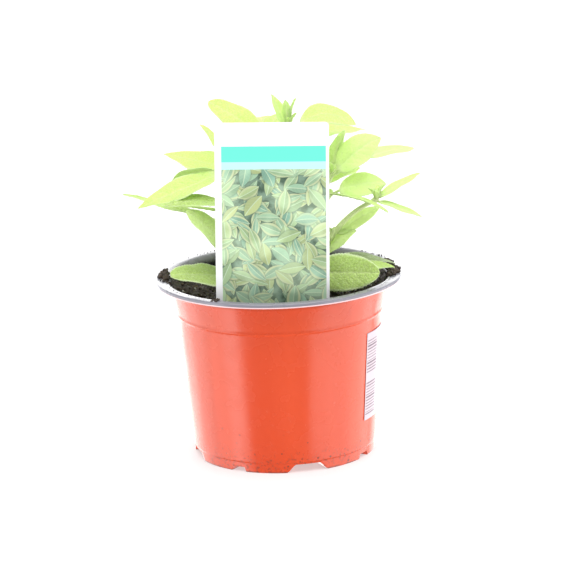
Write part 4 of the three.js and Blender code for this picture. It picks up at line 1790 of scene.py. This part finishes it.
        shell = facing * np.sqrt(np.clip(1 - relative ** (2 + 6 * in_blade), 0, 1))
        thick = self.thickness / 2 * in_blade + self.stalk_half * (1 - in_blade)
        thick = thick * (1 - 0.5 * smooth(0.9, 1, q))
        ridge = self.ridge * rib * (1 - 0.75 * q) + 0.1 * lateral
        depth = thick * shell - np.where(facing < 0, ridge, 0) * in_blade
        middle, side, normal = self.frame()
        points = (
            middle[:, None]
            + side * (across * math.cos(fold))[..., None]
            + normal[:, None] * (lift + depth)[..., None]
        )
        # Lime by the height of the foot, unless given: new growth, and painted light on the higher
        # leaves.
        young = leaf.young
        if young is None:
            young = float(smooth(*self.fresh_and_lit, self.start[2])) + rng.normal(0, 0.08)
        values = {
            "upper": (1 + facing) / 2 + 0 * v,
            "vein": np.maximum(rib, 0.55 * lateral) * in_blade,
            "pebble": 1 - (1 - cushions) * in_blade,
            "edge": smooth(0.82, 1.0, relative) * in_blade,
            "stem": 0.8 * (1 - in_blade) + 0 * v,
        }
        turned = {name: value[:, ::-1] for name, value in values.items()}
        same = {"young": np.clip(young, 0, 1), "grey": leaf.grey, "pale": leaf.pale, "wood": 0.0}
        return points, Patch.loft(points[:, ::-1]).with_values(**turned, **same)

    def hairs(self, points: np.ndarray, rng: np.random.Generator) -> list[np.ndarray]:
        """The blade's hairs, along both edges and over both faces.

        Args:
            points: The grid's points.
            rng: Chance.

        Returns:
            The roots, directions and lengths of the hairs.
        """
        columns = self.columns
        points = points[np.searchsorted(self.part[:, 0], 0.02) :]
        rows, around = points.shape[:2]
        steps = np.linalg.norm(np.diff(points[:, 0], axis=0), axis=-1).sum()
        count = int(steps * self.edge_hairs)
        roots, ways, lengths = [], [], []
        forward = unit(np.gradient(points, axis=0))
        normal = unit(np.cross(np.roll(points, -1, 1) - np.roll(points, 1, 1), forward))
        for edge, inner in ((0, 1), (columns, columns - 1)):
            row = rng.integers(0, rows - 1, count)
            share = rng.uniform(0, 1, count)[:, None]
            roots.append(points[row, edge] * (1 - share) + points[row + 1, edge] * share)
            way = unit(points[row, edge] - points[row, inner]) + 0.45 * forward[row, edge]
            ways.append(unit(way + rng.normal(0, 0.33, (count, 3))))
            lengths.append(rng.uniform(0.35, 0.95, count))
        span = np.linalg.norm(points[:, 0] - points[:, columns], axis=-1)
        count = int(steps * span.mean() * self.face_hairs)
        row = rng.choice(rows, count, p=span / span.sum())
        column = rng.integers(0, around, count)
        roots.append(points[row, column])
        way = -normal[row, column] + 0.5 * forward[row, column] + rng.normal(0, 0.35, (count, 3))
        ways.append(unit(way))
        lengths.append(rng.uniform(0.2, 0.5, count))
        return [np.concatenate(part) for part in (roots, ways, lengths)]


@dataclass
class Foliage:
    """Builds shoots: stems, leaves and their hairs."""

    soil_level: float = 87.5
    sunk: float = 12.0
    root_radius: float = 1.8
    tip_radius: float = 1.1
    stem_steps: int = 90
    stem_sides: int = 20
    swelling: float = 0.35
    swelling_reach: float = 0.018
    wood: tuple[float, float] = (104.0, 92.0)
    fresh_and_lit: tuple[float, float] = (96.0, 150.0)
    stem_hairs: float = 9.0
    front: tuple[float, float, float] = (0.0, -1.0, 0.0)
    seed: int = 100

    def curve(self, shoot: Shoot, share: np.ndarray | float) -> tuple[np.ndarray, np.ndarray]:
        """Points and tangents along a stem, (1-t)^2 A + 2t(1-t) B + t^2 C from root to tip.

        Args:
            shoot: The shoot.
            share: Values of t, from 0 at the root to 1 at the tip.

        Returns:
            The points and the tangents.
        """
        start = np.array((*shoot.root, self.soil_level - self.sunk))
        end = np.array(shoot.tip, float)
        bend = start + (end - start) * np.array((shoot.lean, shoot.lean, shoot.climb))
        t = np.asarray(share, float)[..., None]
        points = (1 - t) ** 2 * start + 2 * t * (1 - t) * bend + t * t * end
        return points, unit(2 * (1 - t) * (bend - start) + 2 * t * (end - bend))

    def stem(self, shoot: Shoot) -> Patch:
        """A stem with four rounded corners and a swelling at each leaf's foot.

        The radius is (root + (tip - root) t + swelling exp(-((t - node) / reach)^2)), times
        1 + 0.07 cos 4a. It turns to wood, and from old to new growth that also carries painted
        light, between two heights each.

        Args:
            shoot: The shoot.

        Returns:
            The stem, with the values of a leaf.
        """
        share = np.linspace(0, 1, self.stem_steps)
        points, tangent = self.curve(shoot, share)
        points[-1] += tangent[-1] * self.tip_radius * 0.8
        radius = self.root_radius + (self.tip_radius - self.root_radius) * share
        for node in sorted({leaf.at for leaf in shoot.leaves}):
            away = (share - node) / self.swelling_reach
            radius = radius + self.swelling * np.exp(-(away**2))
        radius[-1] *= 0.5
        angle = around_once(self.stem_sides)
        corners = 1 + 0.07 * np.cos(4 * angle)
        reach = radius[:, None, None] * corners[None, :, None]
        rings = points[:, None] + reach * circle_about(square_to(tangent, self.front), angle)
        height = np.repeat(points[:, 2:], self.stem_sides, 1)
        wood, young = smooth(*self.wood, height), smooth(*self.fresh_and_lit, height)
        return Patch.loft(rings).with_values(
            stem=1.0, wood=wood, young=young, upper=1.0, pebble=1.0, vein=0.0, edge=0.0, grey=0.0,
            pale=0.0,
        )

    def stem_down(self, shoot: Shoot, rng: np.random.Generator) -> list[np.ndarray]:
        """A stem's hairs, denser towards its tip.

        Args:
            shoot: The shoot.
            rng: Chance.

        Returns:
            The roots, directions and lengths of the hairs.
        """
        length = np.linalg.norm(np.array(shoot.tip) - np.array((*shoot.root, self.soil_level)))
        count = int(length * self.stem_hairs)
        share = 0.18 + 0.82 * rng.uniform(0, 1, count) ** 0.7
        points, tangent = self.curve(shoot, share)
        side, other = square_to(tangent, self.front)
        angle = rng.uniform(0, 2 * np.pi, count)[:, None]
        away = np.cos(angle) * side + np.sin(angle) * other
        radius = self.root_radius + (self.tip_radius - self.root_radius) * share
        way = unit(away + rng.normal(0, 0.3, (count, 3)))
        return [points + away * radius[:, None] * 0.95, way, 0.3 + rng.uniform(0, 0.7, count)]

    def build(self, place: Place, shoots: Iterable[Shoot]) -> None:
        """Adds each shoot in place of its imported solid, and its hairs.

        Args:
            place: Where pieces are made.
            shoots: The shoots.
        """
        leaf_finish = SageLeaf().material(place.axis)
        hair_finish = SageHair().material(place.axis)
        for number, shoot in enumerate(shoots):
            rng = np.random.default_rng(self.seed + number)
            patches = [self.stem(shoot)]
            down = [self.stem_down(shoot, rng)]
            for leaf in [*shoot.leaves, *self.small_leaves(shoot, rng)]:
                skin = LeafSkin(leaf, self.curve(shoot, leaf.at)[0])
                points, patch = skin.patch(rng)
                patches.append(patch)
                down.append(skin.hairs(points, rng))
            name = shoot.name.removeprefix("shoot_")
            place.piece(
                f"{name}_leaves", Patch.joined(patches), leaf_finish, Slot.LEAF, [shoot.name]
            )
            roots, ways, lengths = (np.concatenate(column) for column in zip(*down))
            place.piece(f"{name}_hairs", spikes(roots, ways, lengths), hair_finish, Slot.LEAF)

    def small_leaves(self, shoot: Shoot, rng: np.random.Generator) -> list[Leaf]:
        """The youngest leaves: two pairs folded up at the tip, and a pair in the leaf axils.

        Args:
            shoot: The shoot.
            rng: Chance.

        Returns:
            The leaves.
        """
        found = []
        for turn, rise, length in ((20, 62, 9), (200, 58, 8), (110, 72, 6), (290, 76, 5.5)):
            heading = turn + 20 * rng.normal()
            found.append(Leaf(1.0, heading, rise, length, 0.42, 0.1, fold=24, stalk=0.08))
        for node in sorted({leaf.at for leaf in shoot.leaves if 0.3 < leaf.at < 0.97}):
            heading = rng.uniform(0, 360)
            for turn in (0, 180):
                rise, length = rng.uniform(40, 62), rng.uniform(5, 9)
                where = (node + 0.008, heading + turn, rise, length)
                found.append(Leaf(*where, 0.42, 0.1, fold=18, stalk=0.1))
        return found


def spikes(roots: np.ndarray, ways: np.ndarray, lengths: np.ndarray) -> Patch:
    """Hairs as thin closed spikes of four triangles.

    The three foot points are root - 0.06 way + 0.035 (cos a S + sin a O), with S and O square to
    the way, and the hair ends at root + length way.

    Args:
        roots: Where they grow (n, 3).
        ways: Their directions (n, 3).
        lengths: Their lengths (n,).

    Returns:
        All of them as one patch.
    """
    circle = circle_about(square_to(ways, (0.31, 0.52, 0.79)), around_once(3))
    foot = roots[:, None] - ways[:, None] * 0.06 + 0.035 * circle
    tip = (roots + ways * lengths[:, None])[:, None]
    points = np.concatenate([foot, tip], 1)
    faces = np.array([(0, 1, 3), (1, 2, 3), (2, 0, 3), (2, 1, 0)])
    starts = (np.arange(len(roots)) * 4)[:, None, None]
    return Patch(points.reshape(-1, 3), [(faces[None] + starts).reshape(-1, 3)])


# ---- Label and sticker ---------------------------------------------------------------------------


@dataclass
class Label:
    """A flat plastic label that narrows below the rim to a point in the compost.

    A layer of motifs has a pitch in millimetres, a turn in radians and a shift of its own.
    """

    width: float = 58.0
    thickness: float = 0.6
    top: float = 184.8
    shoulder: float = 91.5
    neck_width: float = 24.0
    neck: float = 82.0
    point: float = 58.0
    corner: float = 2.0
    bevel: float = 0.14
    x: float = -3.4
    y: float = -44.5
    turned_at: float = 95.0
    lean: float = 1.64
    left_margin: float = 3.4
    right_margin: float = 1.6
    band_from: float = 12.2
    band_to: float = 20.3
    print_from: float = 24.1
    motif_layers: tuple[tuple[float, float, float], ...] = (
        (12.5, 0.4, 3.3),
        (13.5, 0.9, 15.4),
        (14.5, 1.1, 7.1),
        (13.5, 2.0, 12.6),
        (15.5, 2.7, 5.2),
        (14.5, 1.6, 2.2),
        (16.0, 2.4, 8.8),
        (15.0, 0.7, 11.7),
        (17.0, 0.1, 9.4),
    )

    def outline(self, inset: float) -> np.ndarray:
        """The label's outline, with quarter circles of points at the top corners.

        Args:
            inset: How far it is drawn in.

        Returns:
            Rows of x and z, counter-clockwise from the lower point.
        """
        half, top, corner = self.width / 2 - inset, self.top - inset, self.corner
        turn = np.radians(np.linspace(0, 90, 9))
        middle = np.array((half - corner, top - corner))
        arc = middle + corner * np.stack([np.cos(turn), np.sin(turn)], -1)
        foot = (0.0, self.point + 1.6 * inset)
        neck = (self.neck_width / 2 - inset, self.neck)
        right = np.concatenate([[foot, neck, (half, self.shoulder + inset)], arc])
        return np.concatenate([right, right[1:][::-1] * (-1, 1)])

    def build(self, place: Place, finish: LabelPlastic) -> None:
        """Adds the label: four outlines through its thickness, the outer two drawn in.

        Args:
            place: Where pieces are made.
            finish: Its finish.
        """
        half, bevel = self.thickness / 2, self.bevel
        sections = ((bevel, half), (0.0, half - bevel), (0.0, bevel - half), (bevel, -half))
        lean = math.radians(self.lean)
        rings = []
        for inset, depth in sections:
            line = self.outline(inset) - (0, self.turned_at)
            x = line[:, 0] * math.cos(lean) + line[:, 1] * math.sin(lean) + self.x
            z = line[:, 1] * math.cos(lean) - line[:, 0] * math.sin(lean) + self.turned_at
            rings.append(np.stack([x, np.full(len(x), self.y + depth), z], -1))
        patch = Patch.loft(np.stack(rings))
        material = finish.material(place.axis, self)
        place.piece("plant_label", patch, material, Slot.LABEL, ["label"], 30)


@dataclass
class Sticker:
    """A paper sticker bent round the body."""

    pot: Pot
    start: float = 57.0
    end: float = 85.0
    bottom: float = 20.6
    top: float = 68.1
    thickness: float = 0.16
    off_wall: float = 0.24
    curl: float = 0.45
    bars_from: float = 57.8
    bars_to: float = 70.0
    bar_groups: tuple[tuple[float, float], ...] = ((23.5, 41.5), (45.5, 64.0))
    rows: int = 60
    columns: int = 44

    def build(self, place: Place, finish: StickerPaper) -> None:
        """Adds the sticker: a closed thin sheet at the wall's radius plus a small gap.

        A point at angle a and height h lies at r = body(h) + gap. The sheet's rings stand side by
        side, each down its outer face and up its inner face. Its upper right corner curls away.

        Args:
            place: Where pieces are made.
            finish: Its finish.
        """
        part = np.linspace(0, 1, self.columns)[:, None]
        angle = np.radians(self.start + (self.end - self.start) * part)
        turn = np.arange(2 * self.rows)[None, :]
        outer = turn < self.rows
        share = 1 - np.where(outer, turn, 2 * self.rows - 1 - turn) / (self.rows - 1)
        height = self.bottom + (self.top - self.bottom) * share
        curl = self.curl * smooth(0.86, 1, part) * smooth(0.55, 1, share)
        radius = self.pot.outside(height) + self.off_wall + curl
        radius = radius + np.where(outer, self.thickness, 0)
        patch = Patch.loft(polar(radius, angle, height))
        patch.with_values(outer=outer + 0.0 * part)
        material = finish.material(place.axis, self)
        place.piece("side_sticker", patch, material, Slot.STICKER, ["sticker"], 40)


# ---- Studio --------------------------------------------------------------------------------------


@dataclass
class Softbox:
    """A square area light that looks at a point of the plant."""

    name: str
    azimuth: float
    elevation: float
    distance: float
    width: float
    height: float
    power: float
    aim: float = 80.0
    only_mirrored: bool = False


@dataclass
class Studio:
    """White floor, white surroundings, softboxes and the camera at the photograph's angle."""

    distance: float = 1774.0
    elevation: float = 14.52
    roll: float = -2.14
    target: tuple[float, float, float] = (2.95, 0.0, 88.3)
    focal_pixels: float = 3382.0
    frame_pixels: float = 570.0
    sensor: float = 36.0
    backdrop: float = 1.0
    ambient: float = 0.45
    floor_size: float = 6.0
    softboxes: tuple[Softbox, ...] = (
        Softbox("left_strip", -60, -20, 880, 180, 800, 1.0, 60),
        Softbox("left_box", -92, -20, 900, 1680, 800, 10.0, 60),
        Softbox("right_box", 81, -20, 900, 1680, 800, 11.0, 60),
        Softbox("back_box", 180, 16, 900, 1400, 480, 8.0, 90),
        Softbox("back_low", 180, -22, 900, 1500, 720, 9.0, 60, only_mirrored=True),
    )
    sky_light: float = 4.2
    sky_angle: float = 70.0
    sky_azimuth: float = 20.0
    sky_elevation: float = 78.0

    def camera(self, axis: Vector) -> None:
        """Adds the camera. It looks from the front, turned about its own line of sight.

        Args:
            axis: The pot's axis.
        """
        rise, roll = math.radians(self.elevation), math.radians(self.roll)
        back = Vector((0, -math.cos(rise), math.sin(rise)))
        right = Vector((1, 0, 0))
        up = back.cross(right)
        turned = right * math.cos(roll) + up * math.sin(roll)
        upright = up * math.cos(roll) - right * math.sin(roll)
        data = bpy.data.cameras.new("camera")
        data.sensor_fit = "HORIZONTAL"
        data.sensor_width = self.sensor
        data.lens = self.focal_pixels / self.frame_pixels * self.sensor
        data.clip_end = 50
        camera = linked("camera", data)
        place = axis + (Vector(self.target) + back * self.distance) * MM
        turn = Matrix((turned, upright, back)).transposed().to_4x4()
        camera.matrix_world = Matrix.Translation(place) @ turn
        bpy.context.scene.camera = camera

    def away(self, azimuth: float, elevation: float) -> Vector:
        """A direction away from the plant.

        Args:
            azimuth: Degrees to the right of the front.
            elevation: Degrees above the level.

        Returns:
            The direction, of unit length.
        """
        turn, rise = math.radians(azimuth), math.radians(elevation)
        level = math.cos(rise)
        return Vector((math.sin(turn) * level, -math.cos(turn) * level, math.sin(rise)))

    def overhead(self) -> None:
        """Adds the wide, even light from above."""
        data = bpy.data.lights.new("overhead", "SUN")
        data.energy = self.sky_light
        data.angle = math.radians(self.sky_angle)
        away = self.away(self.sky_azimuth, self.sky_elevation)
        linked("overhead", data).matrix_world = away.to_track_quat("Z", "Y").to_matrix().to_4x4()

    def light(self, box: Softbox, axis: Vector) -> None:
        """Adds a softbox.

        Args:
            box: The softbox.
            axis: The pot's axis.
        """
        away = self.away(box.azimuth, box.elevation)
        data = bpy.data.lights.new(box.name, "AREA")
        data.shape = "RECTANGLE"
        data.size, data.size_y = box.width * MM, box.height * MM
        data.energy = box.power
        lamp = linked(box.name, data)
        place = axis + Vector((0, 0, box.aim * MM)) + away * box.distance * MM
        turn = away.to_track_quat("Z", "Y").to_matrix().to_4x4()
        lamp.matrix_world = Matrix.Translation(place) @ turn
        lamp.visible_camera = False
        lamp.visible_diffuse = not box.only_mirrored

    def build(self, place: Place) -> None:
        """Adds the floor, the room and the lights, and shows colours as they are.

        Args:
            place: Where pieces are made.
        """
        half = self.floor_size / 2 / MM
        corners = np.array([(-half, -half, 0), (half, -half, 0), (half, half, 0), (-half, half, 0)])
        floor = place.mesh("studio_floor", Patch(corners, [np.array([(0, 1, 2, 3)])]), None)
        floor.data.materials.append(StudioFloor().material(place.axis))
        floor.visible_glossy = False
        floor.visible_shadow = False
        self.room()
        self.overhead()
        for box in self.softboxes:
            self.light(box, place.axis)
        bpy.context.scene.view_settings.view_transform = "Standard"
        LOG.info("studio: %d softboxes", len(self.softboxes))

    def room(self) -> None:
        """Sets the white surroundings, brighter where the camera looks at them than as light."""
        world = bpy.data.worlds.new("white_room")
        world.use_nodes = True
        tree = world.node_tree
        seen = add_node(tree, "ShaderNodeLightPath").outputs["Is Camera Ray"]
        levels = {"Value": seen, "To Min": self.ambient, "To Max": self.backdrop}
        strength = add_node(tree, "ShaderNodeMapRange", sockets=levels)
        sky = tree.nodes["Background"]
        sky.inputs["Color"].default_value = (1, 1, 1, 1)
        tree.links.new(strength.outputs[0], sky.inputs["Strength"])
        bpy.context.scene.world = world


# ---- The whole -----------------------------------------------------------------------------------


def main() -> None:
    """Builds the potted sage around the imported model."""
    logging.basicConfig(level=logging.INFO, format="%(name)s %(message)s")
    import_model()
    place = Place()
    studio = Studio()
    studio.camera(place.axis)
    studio.build(place)
    pot = Pot()
    pot.build(place, PotPlastic())
    Soil(pot).build(place)
    Foliage().build(place, SHOOTS)
    Label().build(place, LabelPlastic())
    Sticker(pot).build(place, StickerPaper())


if __name__ == "__main__":
    main()
